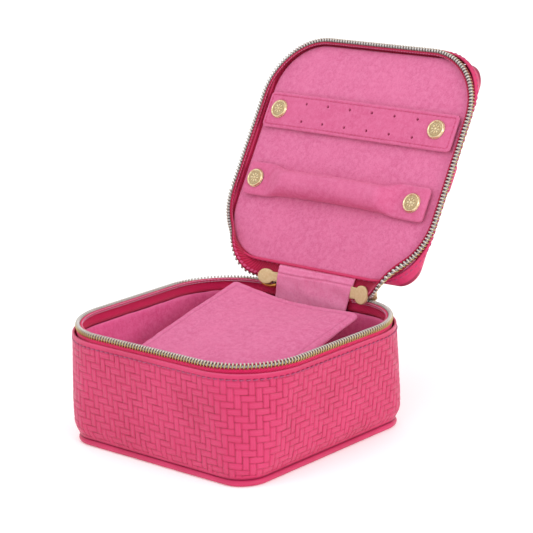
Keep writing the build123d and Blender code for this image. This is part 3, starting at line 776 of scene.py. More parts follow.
def tape(name, rows, f, mode, hide=(), wz=None, t=0.7):
    """woven tape as a thin closed band through rows (w, d, r, z)"""
    rows = np.array(rows, float)
    outer = rows
    inner = rows[::-1].copy()
    inner[:, :3] -= np.array([2 * t, 2 * t, t])
    prof = np.concatenate([outer, inner])
    n = len(prof)
    P = np.zeros((n, len(f), 3))
    for k, (w, d, r, z) in enumerate(prof):
        p, _ = rr(w, d, r, f)
        P[k, :, :2], P[k, :, 2] = p, z
    L = rr_len(*rows[0][:3])
    closed_f = abs((f[-1] - f[0]) - 1) < 0.01 and mode != "rear"
    F = grid_faces(n, len(f), True, False)
    S = np.broadcast_to(f * L / 1.3, P.shape[:2])
    T = P[:, :, 2] / 0.8
    V = P.reshape(-1, 3)
    M = Mesh()
    # end walls
    m = len(f)
    ends = []
    half = n // 2
    for j in (0, m - 1):
        for k in range(half - 1):
            ends.append((k * m + j, (k + 1) * m + j, (n - 2 - k) * m + j, (n - 1 - k) * m + j))
    if mode == "base":
        M.add(V, np.concatenate([F, np.array(ends)]), su=S, tv=T)
        o = M.obj(name, M_TAPE_LIT if mode == "base" else M_TAPE)
        give(o, "base", "zip_tape")
    elif mode == "lid":
        M.add(swing(V), np.concatenate([F, np.array(ends)]), su=S, tv=T)
        o = M.obj(name, M_TAPE)
        give(o, "lid", "zip_tape")
    else:
        R, w = rear_tape_rest(V)
        M.add(R, np.concatenate([F, np.array(ends)]), su=S, tv=T)
        o = M.obj(name, M_TAPE)
        set_blend(o)
    if hide:
        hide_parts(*hide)
    return o


def sew_rows(name, w, d, r, z, f, mode, pitch=1.7, side=-1, off=0.0):
    """the chain of thread that holds the coil, on the inner face of the tape"""
    p, nn = rr(w, d, r, f)
    P = np.concatenate([p, np.full((len(p), 1), z)], 1)
    Nn = np.concatenate([side * nn, np.zeros((len(p), 1))], 1)
    M = Mesh()
    stitches(M, P, Nn, pitch, pitch * 0.86, 0.21, lift=off, arch=0.5, slant=0.22)
    V = np.concatenate(M.V)
    if mode == "base":
        return give(M.obj(name, M_THREAD_P), "base", "zip_tape")
    if mode == "lid":
        M.V = [swing(V)]
        return give(M.obj(name, M_THREAD_SHADED), "lid", "zip_tape")
    R, w_ = rear_tape_rest(V)
    M.V = [R]
    o = M.obj(name, M_THREAD_S)
    set_blend(o)
    return o


F_SPLIT = (32.7 + 0.5 * math.pi * 32.45) / rr_len(130.3, 116.5, 32.45)
LC = rr_len(RIM_W - 2.3, RIM_D - 2.3, RIM_R - 1.15)


def zips():
    f0 = 25.0 / LC
    coil("zip_coil_base", f0, 1 - f0, 54.35, 1, "base", ("base_zip_coil",))
    fl = 30.0 / LC
    coil("zip_coil_lid_left", fl, F_SPLIT, 60.85, -1, "left")
    coil("zip_coil_lid", F_SPLIT, 1 - F_SPLIT, 60.85, -1, "lid", ("lid_zip_coil",))
    coil("zip_coil_lid_right", 1 - F_SPLIT, 1 - fl, 60.85, -1, "right")
    w0, d0, r0 = outline_at(BASE_T, 49.8)
    a, b, r = RIM_W - 4.7, RIM_D - 4.7, RIM_R - 2.3
    f = np.linspace(22.0 / LC, 1 - 22.0 / LC, 700)
    rows = [(w0 - 3.4, d0 - 3.2, 31.7, 49.8), (131.0, 117.2, 32.6, 51.6), (131.5, 117.8, 32.9, 52.9), (131.6, 117.9, 33.0, 54.0),
            (130.9, 117.2, 32.6, 54.6), (a + 0.6, b + 0.6, r + 0.2, 55.2), (a, b, r, 55.9), (a, b, r, 56.5)]
    tape("zip_tape_base", rows, f, "base", ("base_zip_tape",))
    lrows = [(a, b, r, 58.5), (a, b, r, 59.3), (a + 0.6, b + 0.6, r + 0.2, 60.0), (129.4, 116.4, 30.8, 60.7), (128.4, 116.2, 28.4, 61.3), (126.6, 115.2, 26.8, 62.6), (117.0, 106.0, 24.0, 63.3)]
    tape("zip_tape_lid", lrows, np.linspace(F_SPLIT, 1 - F_SPLIT, 420), "lid", ("lid_zip_tape",))
    tape("zip_tape_lid_left", lrows, np.linspace(20.0 / LC, F_SPLIT, 110), "left")
    tape("zip_tape_lid_right", lrows, np.linspace(1 - F_SPLIT, 1 - 20.0 / LC, 110), "right")
    # sewing rows seen from inside
    ia, ib, ir = a - 1.4, b - 1.4, r - 0.7
    fr = np.linspace(26.0 / LC, 1 - 26.0 / LC, 900)
    sew_rows("coil_sewing_base_upper", ia, ib, ir, 56.1, fr, "base")
    sew_rows("coil_sewing_base_lower", ia + 0.5, ib + 0.5, ir + 0.2, 55.15, fr, "base")
    for nm, mode, fa, fb in (("lid", "lid", F_SPLIT, 1 - F_SPLIT), ("lid_left", "left", 31.0 / LC, F_SPLIT), ("lid_right", "right", 1 - F_SPLIT, 1 - 31.0 / LC)):
        fr = np.linspace(fa, fb, 500)
        sew_rows("coil_sewing_%s" % nm, ia, ib, ir, 58.9, fr, mode)


# ------------------------------------------------------------------ base inside
def base_inside():
    nf = 420
    f = np.arange(nf) / nf
    rows = []
    zt = 49.6
    prof = [(2.35, zt - 1.6), (2.45, zt - 0.6), (2.7, zt - 0.12), (3.1, zt), (3.5, zt - 0.15), (3.8, zt - 0.7)]
    zs = np.linspace(zt - 1.8, 4.4, 40)
    P = []
    for dr, z in prof:
        w, d, r = outline_at(BASE_T, z)
        p, _ = rr(w - 2 * dr, d - 2 * dr, r - dr, f)
        P.append(np.concatenate([p, np.full((nf, 1), z)], 1))
    for z in zs:
        w, d, r = outline_at(BASE_T, z)
        dr = 3.92
        p, _ = rr(w - 2 * dr, d - 2 * dr, r - dr, f)
        P.append(np.concatenate([p, np.full((nf, 1), z)], 1))
    P = np.array(P)
    N = grid_normals(P, False, True)
    if (N[8:, :, :2] * P[8:, :, :2]).sum() > 0:
        N = -N
    deep = ss((zt - P[:, :, 2]) / 6.0)
    P = P + N * (0.30 * soft_noise(P, 22.0) * deep)[..., None]
    P[:len(prof), :, 2] += 0.16 * soft_noise(P[:len(prof)], 9.0)
    M = Mesh()
    # lighter top of the lining's lip: wear and painted highlight
    M.add(P, grid_faces(P.shape[0], nf, False, True), worn=np.clip(0.18 * ss((P[:, :, 2] - zt + 1.0) / 0.9), 0, 1))
    o = M.obj("wall_lining_suede", M_SUEDE4)
    give(o, "base", "suede", "base_wall_suede")
    V, F, e, sd = slab(106.2, 106.2, 10.6, 60, 60, 1.5, front=lambda x, y, e: 0.15 * soft_noise(np.stack([x, y, 0 * x], -1), 20.0))
    V = V + [0, 0, 3.95]
    M = Mesh().add(V, F)
    give(M.obj("floor_suede", M_SUEDE4), "base", "suede", "base_floor_suede", "base_floor_board")
    for nm, x in (("left", -40.5), ("right", 40.5)):
        V, F, e, sd = slab(25.4, 105.6, 1.2, 26, 60, 2.9, edge=1.4, front=lambda x, y, e: 0.12 * soft_noise(np.stack([x, y, 0 * x], -1), 14.0))
        # x of the slab is height, y runs along the case
        top = V[:, 0].max()
        Z = 17.7 + V[:, 0] + 0.35 * soft_noise(np.stack([0 * V[:, 1], V[:, 1], 0 * V[:, 1] + x], -1), 26.0) * ss((V[:, 0] + 2) / 14)
        P = np.stack([x + V[:, 2], V[:, 1], Z], -1)
        # lighter divider tops: wear and painted highlight
        M = Mesh().add(P, F[:, ::-1], worn=0.12 * ss((V[:, 0] - 11) / 1.6))
        give(M.obj("divider_%s_wrap" % nm, M_SUEDE4), "base", "suede", "divider_%s_suede" % nm, "divider_%s_board" % nm)


def inner_flap():
    W, Ln = 79.0, 100.2
    t = 2.3
    hem = lambda x, y, e: (-0.30 * np.exp(-((e - 3.4) / 0.42) ** 2) + 0.16 * np.exp(-((e - 1.8) / 1.0) ** 2)
                           + 0.22 * soft_noise(np.stack([x, y, 0 * x], -1), 17.0) + 0.10 * soft_noise(np.stack([x, y, 0 * x], -1), 5.0))
    V, F, e, sd = slab(W, Ln, 3.0, 110, 130, t, edge=1.3, front=hem, back=lambda x, y, e: 0.1 * soft_noise(np.stack([x, y, 0 * x + 9], -1), 12.0))
    x, v, h = V[:, 0], V[:, 1] + Ln / 2 + 0.6, V[:, 2]
    a = math.radians(13.4)
    k = ss(v / 26.0)
    rear = np.interp(x, [-39.5, -27, -13, 0, 12, 26, 34, 39.5], [2.5, -0.1, -2.4, -3.2, -3.1, -2.0, -1.5, -2.2])
    mid = np.interp(x, [-39.5, -27, -13, 0, 12, 26, 34, 39.5], [2.5, 2.0, 1.2, 0.9, 0.6, -0.6, -2.2, -3.6])
    q = ss((v - 62) / 36.0)
    z = (mid * (1 - q) + rear * q) * k
    z += 0.45 * soft_noise(np.stack([x, v, 0 * x], -1), 48.0) * k
    l = h + z
    P = np.stack([x, -53.0 + v * math.cos(a) - l * math.sin(a), 32.0 + v * math.sin(a) + l * math.cos(a)], -1)
    # painted shade in the hem crease; lighter edges: edge wear and painted highlight
    dark = 0.20 * np.exp(-((e - 3.4) / 0.35) ** 2) * sd
    M = Mesh().add(P, F, worn=0.16 * ss((1.0 - e) / 1.0), dark=dark)
    o = M.obj("flap_suede", M_SUEDE)
    give(o, "inner_flap", "suede", "inner_flap_top_suede", "inner_flap_board", "inner_flap_bottom_suede")
    V, F, e, sd = slab(72.6, 9.0, 1.0, 50, 12, 0.85, edge=0.42)
    P = np.stack([V[:, 0], -54.95 + V[:, 2], 28.6 + V[:, 1]], -1)
    give(Mesh().add(P, F[:, ::-1]).obj("flap_tab_suede", M_SUEDE), "base", "suede", "inner_flap_tab")


# ------------------------------------------------------------------ hinge
def hinge():
    # leather spine, flat when shut, folded when open
    H = 16.4
    V, F, e, sd = slab(47.6, H, 0.8, 60, 46, 1.1, edge=0.5)
    zc = 60.2 + V[:, 1]
    P = np.stack([V[:, 0], 60.25 + V[:, 2] - 0.55 * ss((54.2 - zc) / 2.0), zc], -1)
    w = ss((zc - 62.6) / 4.6)
    # lighter along the fold: wear and painted highlight
    o = Mesh().add(swing(P, w), F[:, ::-1], worn=0.25 * np.exp(-((zc - 65.0) / 1.6) ** 2), wv=1.0).obj("spine_leather", M_LEATHER)
    set_blend(o)
    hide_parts("spine_leather_lower", "spine_leather_upper")
    # suede hinge cover inside
    H = 24.0
    fold = lambda x, y, e: (0.30 * np.exp(-((y - 6.4) / 0.5) ** 2) - 0.2 * np.exp(-((y - 5.5) / 0.5) ** 2) + 0.18 * soft_noise(np.stack([x, y, 0 * x], -1), 7.0))
    V, F, e, sd = slab(47.6, H, 0.8, 60, 60, 1.1, edge=0.5, front=fold)
    zr = 57.2 + V[:, 1]
    x = V[:, 0]
    zr = np.where(zr > 66.5, 66.5 + (zr - 66.5) * 0.5, zr)
    yr = np.interp(zr, [45, 50, 54, 58, 62, 66, 67.0, 67.9], [55.0, 55.0, 55.4, 55.8, 56.1, 57.0, 57.9, 59.0])
    yr = yr + 0.35 * np.sin(x / 47.6 * np.pi * 1.2 + 0.5) * ss((zr - 52) / 6)
    lean = zr - 60.5
    P = np.stack([2.2 + 0.21 * lean + x * (23.6 + 0.093 * lean) / 23.8, yr - V[:, 2], zr + 0.25 * np.sin(x / 9.0)], -1)
    w = np.interp(zr, [58, 60, 62, 64, 66, 68], [0.0, 0.08, 0.25, 0.5, 0.75, 1.0])
    # painted shade in the fold crease; lighter edges: wear and painted highlight
    dark = 0.12 * np.exp(-((V[:, 1] - 6.6) / 0.35) ** 2) * sd
    o = Mesh().add(P, F, dark=dark, worn=0.1 * ss((0.8 - e) / 0.8)).obj("hinge_cover_suede", M_SUEDE_COVER_LIT)
    set_blend(o)
    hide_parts("hinge_cover_lower", "hinge_cover_upper")


# ------------------------------------------------------------------ sliders
def smooth_loop(pts, k=5):
    p = np.array(pts, float)
    n = len(p)
    out = []
    for i in range(n):
        p0, p1, p2, p3 = p[(i - 1) % n], p[i], p[(i + 1) % n], p[(i + 2) % n]
        for t in np.arange(k) / k:
            out.append(0.5 * (2 * p1 + (p2 - p0) * t + (2 * p0 - 5 * p1 + 4 * p2 - p3) * t * t + (3 * p1 - p0 - 3 * p2 + p3) * t ** 3))
    return np.array(out)


def plate_mesh(M, loop, t, bevel, place, **att):
    """flat plate with rolled edges: rings from the mid edge to both faces, fanned"""
    loop = np.array(loop, float)
    tan = np.roll(loop, -1, 0) - np.roll(loop, 1, 0)
    tan /= np.linalg.norm(tan, axis=1, keepdims=True)
    area = 0.5 * np.sum(loop[:, 0] * np.roll(loop[:, 1], -1) - np.roll(loop[:, 0], -1) * loop[:, 1])
    nin = np.stack([-tan[:, 1], tan[:, 0]], -1) * (1 if area > 0 else -1)
    cen = loop.mean(0)
    rings = []
    prof = [(1.0, -t / 2), (0.45, -t / 2 * 0.93), (0.12, -t / 2 * 0.62), (0.0, 0.0), (0.12, t / 2 * 0.62), (0.45, t / 2 * 0.93), (1.0, t / 2)]
    for b, h in prof:
        rings.append(np.concatenate([loop + nin * bevel * b, np.full((len(loop), 1), h)], 1))
    inner = rings[-1][:, :2]
    shr = [cen + (inner - cen) * q for q in (0.66, 0.33)]
    full = [np.concatenate([q, np.full((len(loop), 1), -t / 2)], 1) for q in shr[::-1]] + rings + [np.concatenate([q, np.full((len(loop), 1), t / 2)], 1) for q in shr]
    G = np.array(full)
    n, m = G.shape[:2]
    V = np.concatenate([G.reshape(-1, 3), [[cen[0], cen[1], -t / 2]], [[cen[0], cen[1], t / 2]]])
    F = grid_faces(n, m, False, True)
    s = np.arange(m)
    s2 = (s + 1) % m
    T = np.concatenate([np.stack([s2, s, np.full(m, n * m)], -1), np.stack([(n - 1) * m + s, (n - 1) * m + s2, np.full(m, n * m + 1)], -1)])
    V = place(V)
    M.add(V, F, **att)
    M.T.append(T + M.n - len(V))


def tilted(s, x0, turn):
    """each slider leans: its inner plate stands higher and a little nearer the middle"""
    a, b = math.radians(-13.0), math.radians(-turn * s)

    def f(P):
        y, z = P[..., 1] - 60.6, P[..., 2] - 58.8
        y, z = y * math.cos(a) - z * math.sin(a), y * math.sin(a) + z * math.cos(a)
        x = P[..., 0] - s * x0
        x, y = x * math.cos(b) - y * math.sin(b), x * math.sin(b) + y * math.cos(b)
        return np.stack([x + s * x0, y + 60.6, z + 58.8], -1)
    return f


def sliders():
    out = [(-5.5, 2.5), (-4.6, 2.75), (-2.6, 2.7), (-1.6, 2.8), (-0.7, 3.6), (0.6, 4.15), (2.2, 4.35), (3.8, 4.05), (5.2, 3.0), (6.1, 1.6), (6.45, 0.0)]
    pts = out + [(u, -v) for u, v in out[-2::-1]]
    for nm, s, x0, turn in (("left", -1, 27.8, 15.0), ("right", 1, 32.0, 8.0)):
        kk = 0.87 if s < 0 else 1.04
        loop = smooth_loop([(u, v * kk) for u, v in pts])
        M = Mesh()
        plate_mesh(M, loop, 1.15, 0.38, lambda V: np.stack([s * (x0 + V[:, 0]), 54.78 + V[:, 2], 58.8 + V[:, 1]], -1), dark=0.0)
        M2 = Mesh()
        plate_mesh(M2, loop, 1.15, 0.38, lambda V: np.stack([s * (x0 + V[:, 0]), 60.6 + V[:, 2], 58.8 + V[:, 1]], -1), dark=0.0)
        # wedge between the plates, raised flanges along both edges
        wl = smooth_loop([(1.0, 0.9), (3.4, 0.5), (3.9, 0.0), (3.4, -0.5), (1.0, -0.9), (0.4, 0.0)])
        # painted shade: the wedge, the rails and the mouth's lip between the plates are darkened
        plate_mesh(M2, wl, 4.9, 0.15, lambda V: np.stack([s * (x0 + V[:, 0]), 57.7 + V[:, 2], 58.0 + V[:, 1] * 0.5], -1), dark=0.1)
        for e in (1, -1):
            rail = np.array([(u, e * v * 0.93 * kk) for u, v in ((-5.0, 2.3), (-3.6, 2.5), (-1.8, 2.45), (-0.7, 3.3), (0.6, 3.95), (2.2, 4.15), (3.6, 3.9))])
            add_tube(M2, np.stack([s * (x0 + rail[:, 0]), np.full(7, 59.7), 58.8 + rail[:, 1]], -1), 0.42, 8, dark=0.15)
            add_tube(M, np.stack([s * (x0 + rail[:, 0]), np.full(7, 55.5), 58.8 + rail[:, 1]], -1), 0.42, 8, dark=0.15)
        # bail: a bent wire over the outer plate
        a = np.linspace(0, np.pi, 15)
        bail = np.stack([s * x0 - 3.0 * np.cos(a), 61.1 + 2.1 * np.sin(a) ** 0.55, np.full(15, 58.8)], -1)
        add_tube(M2, bail, 0.52, 10, dark=0.05)
        Mf = M2
        # rolled lip of the outer plate in the slider's mouth
        add_tube(M2, np.array([[s * (x0 + u), 59.4, 58.2 + v] for u, v in ((1.0, 0.8), (3.5, 0.7), (5.6, 0.5), (7.4, 0.2))]), 1.0, 10, dark=0.05)
        lean = tilted(s, x0, turn)
        M.V = [lean(v) for v in M.V]
        M2.V = [lean(v) for v in M2.V]
        o = M.obj("slider_%s_inner_plate" % nm, M_GOLD)
        give(o, "slider_" + nm, "brass", "zip_slider_" + nm)
        o = Mf.obj("slider_%s_outer_plate" % nm, M_GOLD)
        give(o, "slider_" + nm, "brass")
        if s < 0:
            # polished lower flange, seen under the inner plate; its deeper gold is painted reflection and shade
            M3 = Mesh()
            fl_ = [(-x0 - 3.4, 56.4), (-x0 - 1.8, 55.6), (-x0 + 0.6, 55.3), (-x0 + 3.0, 55.5), (-x0 + 5.6, 56.2)]
            add_tube(M3, np.array([[u, 55.2, w_] for u, w_ in fl_]), 0.9, 12, dark=0.0)
            give(M3.obj("slider_left_flange", M_GOLD_REFLECTION), "slider_left", "brass")
        # pull tab with its eye
        x = s * x0
        a = np.linspace(0, 2 * np.pi, 25)[:-1]
        M = Mesh()
        add_tube(M, np.stack([np.full(24, x) + 0 * a, 63.2 + 1.22 * np.cos(a), 58.8 + 1.22 * np.sin(a)], -1), 0.42, 8, closed=True, flat=1.7)
        tp = [(-0.9, -1.3), (-1.7, -3.2), (-2.4, -7.0), (-3.0, -14.0), (-3.1, -18.0), (-2.5, -20.6), (-1.0, -21.8)]
        tp = tp + [(-u, v) for u, v in tp[::-1]]
        plate_mesh(M, smooth_loop(tp, 4), 1.0, 0.3, lambda V: np.stack([x + V[:, 0], 63.2 + V[:, 2], 58.8 + V[:, 1]], -1), dark=0.0)
        tpi = [(u * 0.62, (v + 12) * 0.72 - 13.4) for u, v in tp]
        lp = smooth_loop(tpi, 4)
        # painted shade along the tab's raised outline
        add_tube(M, np.stack([x + lp[:, 0], np.full(len(lp), 63.72), 58.8 + lp[:, 1]], -1), 0.20, 6, closed=True, dark=0.3)
        give(M.obj("pull_%s_tab" % nm, M_GOLD), "pull_" + nm, "brass", "zip_pull_" + nm)


# ------------------------------------------------------------------ lid
LID_T = np.array([(129.0, 119.4, 26.6, 62.2), (121.6, 117.4, 13.9, 65.8)])


def lid_outside():
    nf = UNITS * 8
    f = np.arange(nf) / nf
    zs = np.linspace(61.2, 66.9, 17)
    P = np.zeros((len(zs), nf, 3))
    for k, z in enumerate(zs):
        q = (z - 62.2) / 3.6
        w, d, r = [LID_T[0][i] + q * (LID_T[1][i] - LID_T[0][i]) for i in range(3)]
        if q < 0:
            w, d, r = w + q * 2.0, d + q * 0.6, r + 2.0 * q * -0.3
        p, _ = rr(w, d, r, f)
        P[k, :, :2], P[k, :, 2] = p, z
    N = grid_normals(P, False, True)
    if (N[:, :, :2] * P[:, :, :2]).sum() < 0:
        N = -N
    S = np.broadcast_to(f * UNITS, P.shape[:2])
    T = np.broadcast_to(((zs - zs[0]) / 3.17 * 1.3)[:, None], P.shape[:2])
    h, ish = twill(S, T)
    fade = ss((P[:, :, 2] - 62.6) / 0.7) * ss((65.6 - P[:, :, 2]) / 0.7) * 0.25
    Pd = P + N * (-0.36 * (1 - h) * fade - 0.04)[..., None]
    lo = []
    for dr, z in ((1.2, 63.0), (1.2, 61.6), (1.05, 61.2), (0.7, 61.02), (0.3, 61.05)):
        w, d, r = LID_T[0][:3] - np.array([0.6, 0.2, -0.2])
        p, _ = rr(w - 2 * dr, d - 2 * dr, r - dr, f)
        lo.append(np.concatenate([p, np.full((nf, 1), z)], 1))
    allP = np.concatenate([np.array(lo), Pd])
    pad = lambda A, v: np.concatenate([np.full((len(lo), nf), v), A])
    # painted shade: the top of the lid wall darkened where it runs under the piping
    M = Mesh().add(swing(allP), grid_faces(allP.shape[0], nf, False, True, flip=True), wv=pad(h, 1), ish=pad(ish, 0), fade=pad(fade, 0),
                   su=pad(S, 0), tv=pad(T, 0), dark=pad(0.7 * ss((P[:, :, 2] - 65.4) / 0.4), 0.0), worn=0.0)
    give(M.obj("lid_wall_leather_woven", M_WOVEN), "lid", "leather_embossed", "lid_wall_leather")
    # topstitch along the lid wall's edge
    fs = np.linspace(0.0, 1.0, 1500)
    p, nn = rr(128.6, 119.3, 26.2, fs)
    path = np.concatenate([p, np.full((len(p), 1), 62.45)], 1)
    nrm = np.concatenate([nn, np.zeros((len(p), 1))], 1)
    M = Mesh()
    stitches(M, path, nrm, 3.1, 2.35, 0.26, lift=-0.12, slant=0.2)
    M.V = [swing(np.concatenate(M.V))]
    give(M.obj("lid_topstitch", M_THREAD), "lid", "leather_embossed")
    # woven top panel
    W, D, R = 113.0, 110.6, 8.0
    n = 300
    a = np.linspace(-1, 1, n)
    A, B = np.meshgrid(a, a, indexing="ij")
    y = B * D / 2
    over = np.clip((np.abs(y) - (D / 2 - R)) / R, 0, 1)
    hw = W / 2 - R * (1 - np.sqrt(1 - over ** 2))
    x = A * hw
    qx, qy = np.abs(x) - (W / 2 - R), np.abs(y) - (D / 2 - R)
    e = -(np.hypot(np.maximum(qx, 0), np.maximum(qy, 0)) + np.minimum(np.maximum(qx, qy), 0) - R)
    S, T = x / 3.17 + 40, y / 3.17 + 40
    h, ish = twill(S, T)
    fade = ss((e - 0.9) / 1.4)
    z = 69.1 - 0.40 * (1 - h) * fade - 0.25 * (1 - ss(e / 2.2)) - 0.9 * (1 - ss(e / 0.8)) + 0.05 * soft_noise(np.stack([x, y, 0 * x], -1), 25.0)
    Pt = np.stack([x, y, np.minimum(z, 69.18)], -1)
    # painted shade at the panel's edge, where it dips under the piping
    M = Mesh().add(swing(Pt), grid_faces(n, n, flip=True), wv=h, ish=ish, fade=fade, su=S, tv=T, dark=0.5 * (1 - ss(e / 0.8)), worn=0.0)
    give(M.obj("lid_top_leather_woven", M_WOVEN), "lid", "leather_embossed", "lid_top_leather")
    piping("lid_piping_leather", LID_W - 2 * PIPE_R, LID_D - 2 * PIPE_R, LID_R - PIPE_R, RIM_Z + LID_DEPTH - PIPE_R, "lid", ("lid_piping", "lid_piping_cord"), lid=True)


def lid_inside():
    # suede lining: turned edge, soft quilted swell
    D0, D1 = -55.9, 58.7
    W = 124.0
    sw = lambda x, y, e: (0.55 * ss(e / 16.0) + 0.22 * soft_noise(np.stack([x, y, 0 * x + 3], -1), 24.0) * ss(e / 5.0)
                          + 0.05 * soft_noise(np.stack([x, y, 0 * x], -1), 6.0))
    V, F, e, sd = slab(W, D1 - D0, 26.5, 120, 120, 1.4, edge=1.1, front=sw, centre=(0.7, (D0 + D1) / 2))
    P = np.stack([V[:, 0], V[:, 1], 61.95 - V[:, 2]], -1)
    press = np.zeros(len(P))
    for cx, cy in ((-51.2, -18.7), (49.2, -18.7), (-51.2, 19.2), (49.2, 19.2)):
        press += (3.0 if cx > 0 else 1.0) * np.exp(-(((V[:, 0] - cx) ** 2 + (V[:, 1] - cy) ** 2) / 45.0))
    P[:, 2] += 0.30 * press * sd
    o = Mesh().add(swing(P), F[:, ::-1], worn=0.0, dark=0.0).obj("lid_lining", M_SUEDE)
    give(o, "lid", "suede", "lid_lining_suede", "lid_lining_board", "lid_foam_pad", "lid_top_board")


def strap_blend(o):
    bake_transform(o)


def earring_strip():
    x0, x1 = -59.4, 60.5
    W, D = x1 - x0, STRIP_W
    holes = [(1.0 + (k - 2.5) * 14.2, STRIP_Y + r * 4.7) for k in range(6) for r in (-1, 1)]
    cy = STRIP_Y

    def front(x, y, e):
        g = -0.16 * np.exp(-((e - 1.7) / 0.30) ** 2)
        g = g + 0.10 * soft_noise(np.stack([x, y, 0 * x], -1), 9.0)
        for hx, hy in holes:
            d = np.hypot(x - hx, y - hy)
            g = g - 1.15 * (1 - ss((d - 0.42) / 0.42)) + 0.05 * np.exp(-((d - 1.0) / 0.35) ** 2)
        for hx in (-51.2, 49.2):
            d = np.hypot(x - hx, y - (STRIP_Y - 0.7))
            g = g - 0.30 * (1 - ss((d - 4.2) / 1.6))
        return g
    V, F, e, sd = slab(W, D, 2.3, 400, 66, 1.6, edge=0.75, front=front, centre=((x0 + x1) / 2, cy))
    x, y = V[:, 0], V[:, 1]
    # the free part stands a little off the lining and waves
    lift = 0.25 * np.sin((x + 50) / 100 * np.pi) * ss((x + 46) / 20) + 0.12 * soft_noise(np.stack([x, 0 * x, 0 * x], -1), 25.0)
    P = np.stack([x, y + 0.25 * np.sin(x / 38.0), 59.2 - V[:, 2] - lift], -1)
    # painted shade in the holes and along the stitch groove; lighter edges: edge wear and painted highlight
    dark = np.zeros(len(P))
    for hx, hy in holes:
        d = np.hypot(x - hx, y - hy)
        dark += (1 - ss((d - 0.35) / 0.40)) * sd
    worn = 0.18 * ss((0.8 - e) / 0.8)
    dark = np.clip(dark * 1.0 + 0.22 * np.exp(-((e - 1.7) / 0.28) ** 2) * sd, 0, 1)
    o = Mesh().add(swing(P), F[:, ::-1], dark=dark, worn=worn).obj("earring_strip_suede", M_SUEDE2)
    strap_blend(o)
    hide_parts("earring_strip", "earring_strip_fixed_end")
    # stitched edge
    f = np.linspace(0, 1, 900)
    p, _ = rr(W - 3.4, D - 3.4, 1.3, f)
    z = 59.2 - 0.80 + 0.05 - (0.25 * np.sin((p[:, 0] + (x0 + x1) / 2 + 50) / 100 * np.pi) * ss((p[:, 0] + (x0 + x1) / 2 + 46) / 20))
    xx = p[:, 0] + (x0 + x1) / 2
    z = z - 0.12 * soft_noise(np.stack([xx, 0 * xx, 0 * xx], -1), 25.0)
    path = np.stack([xx, p[:, 1] + cy + 0.25 * np.sin(xx / 38.0), z], -1)
    M = Mesh()
    stitches(M, path, np.tile([0, 0, -1.0], (len(path), 1)), 2.5, 1.9, 0.17, lift=-0.02)
    Vs = np.concatenate(M.V)
    M.V = [swing(Vs)]
    o = M.obj("earring_strip_stitching", M_THREAD_S)
    strap_blend(o)


def ring_roll():
    x0, x1 = -57.4, 57.8
    W, D = x1 - x0, 17.4
    k_mid = lambda x: ss((x + 44) / 15.0) * ss((42.5 - x) / 14.0)

    def front(x, y, e):
        yy = (y - 19.2) / (D / 2)
        k = k_mid(x)
        hump = 6.0 * k * np.sqrt(np.clip(1 - np.abs(yy) ** 2.2, 0, 1)) ** 1.0
        g = hump + 0.14 * soft_noise(np.stack([x, y, 0 * x], -1), 8.0) + 0.10 * k * np.sin(x / 2.6 + 2 * yy) * (1 - k) * 4
        for hx in (-51.2, 49.2):
            d = np.hypot(x - hx, y - 19.2)
            g = g - 0.32 * (1 - ss((d - 4.2) / 1.8))
        return g

    def back(x, y, e):
        yy = (y - 19.2) / (D / 2)
        return 1.25 * k_mid(x) * np.clip(1 - yy ** 2, 0, 1)
    V, F, e, sd = slab(W, D, 2.4, 190, 56, 2.1, edge=1.0, front=front, back=back, centre=((x0 + x1) / 2, 19.2))
    x, y = V[:, 0], V[:, 1]
    k = k_mid(x)
    # the padded middle draws in across its width and bows away from the hinge
    y2 = 19.2 + (y - 19.2) * (1 - np.where(y < 19.2, 0.36, 0.12) * k) - 1.1 * np.sin(np.clip((x + 50) / 99, 0, 1) * np.pi) * ss((x + 52) / 20)
    P = np.stack([x, y2, 58.95 - V[:, 2] + 0.2 * k], -1)
    # lighter crest of the padded middle: painted highlight; lighter edges at the flat ends: edge wear and painted
    # highlight
    o = Mesh().add(swing(P), F[:, ::-1], worn=0.14 * ss((0.8 - e) / 0.8) * (1 - k) + 0.10 * k * ss((V[:, 2] - 5.0) / 2.0), dark=0.0).obj("ring_roll_padded", M_SUEDE2)
    strap_blend(o)
    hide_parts("ring_roll_suede", "ring_roll_padding", "ring_roll_fixed_end")


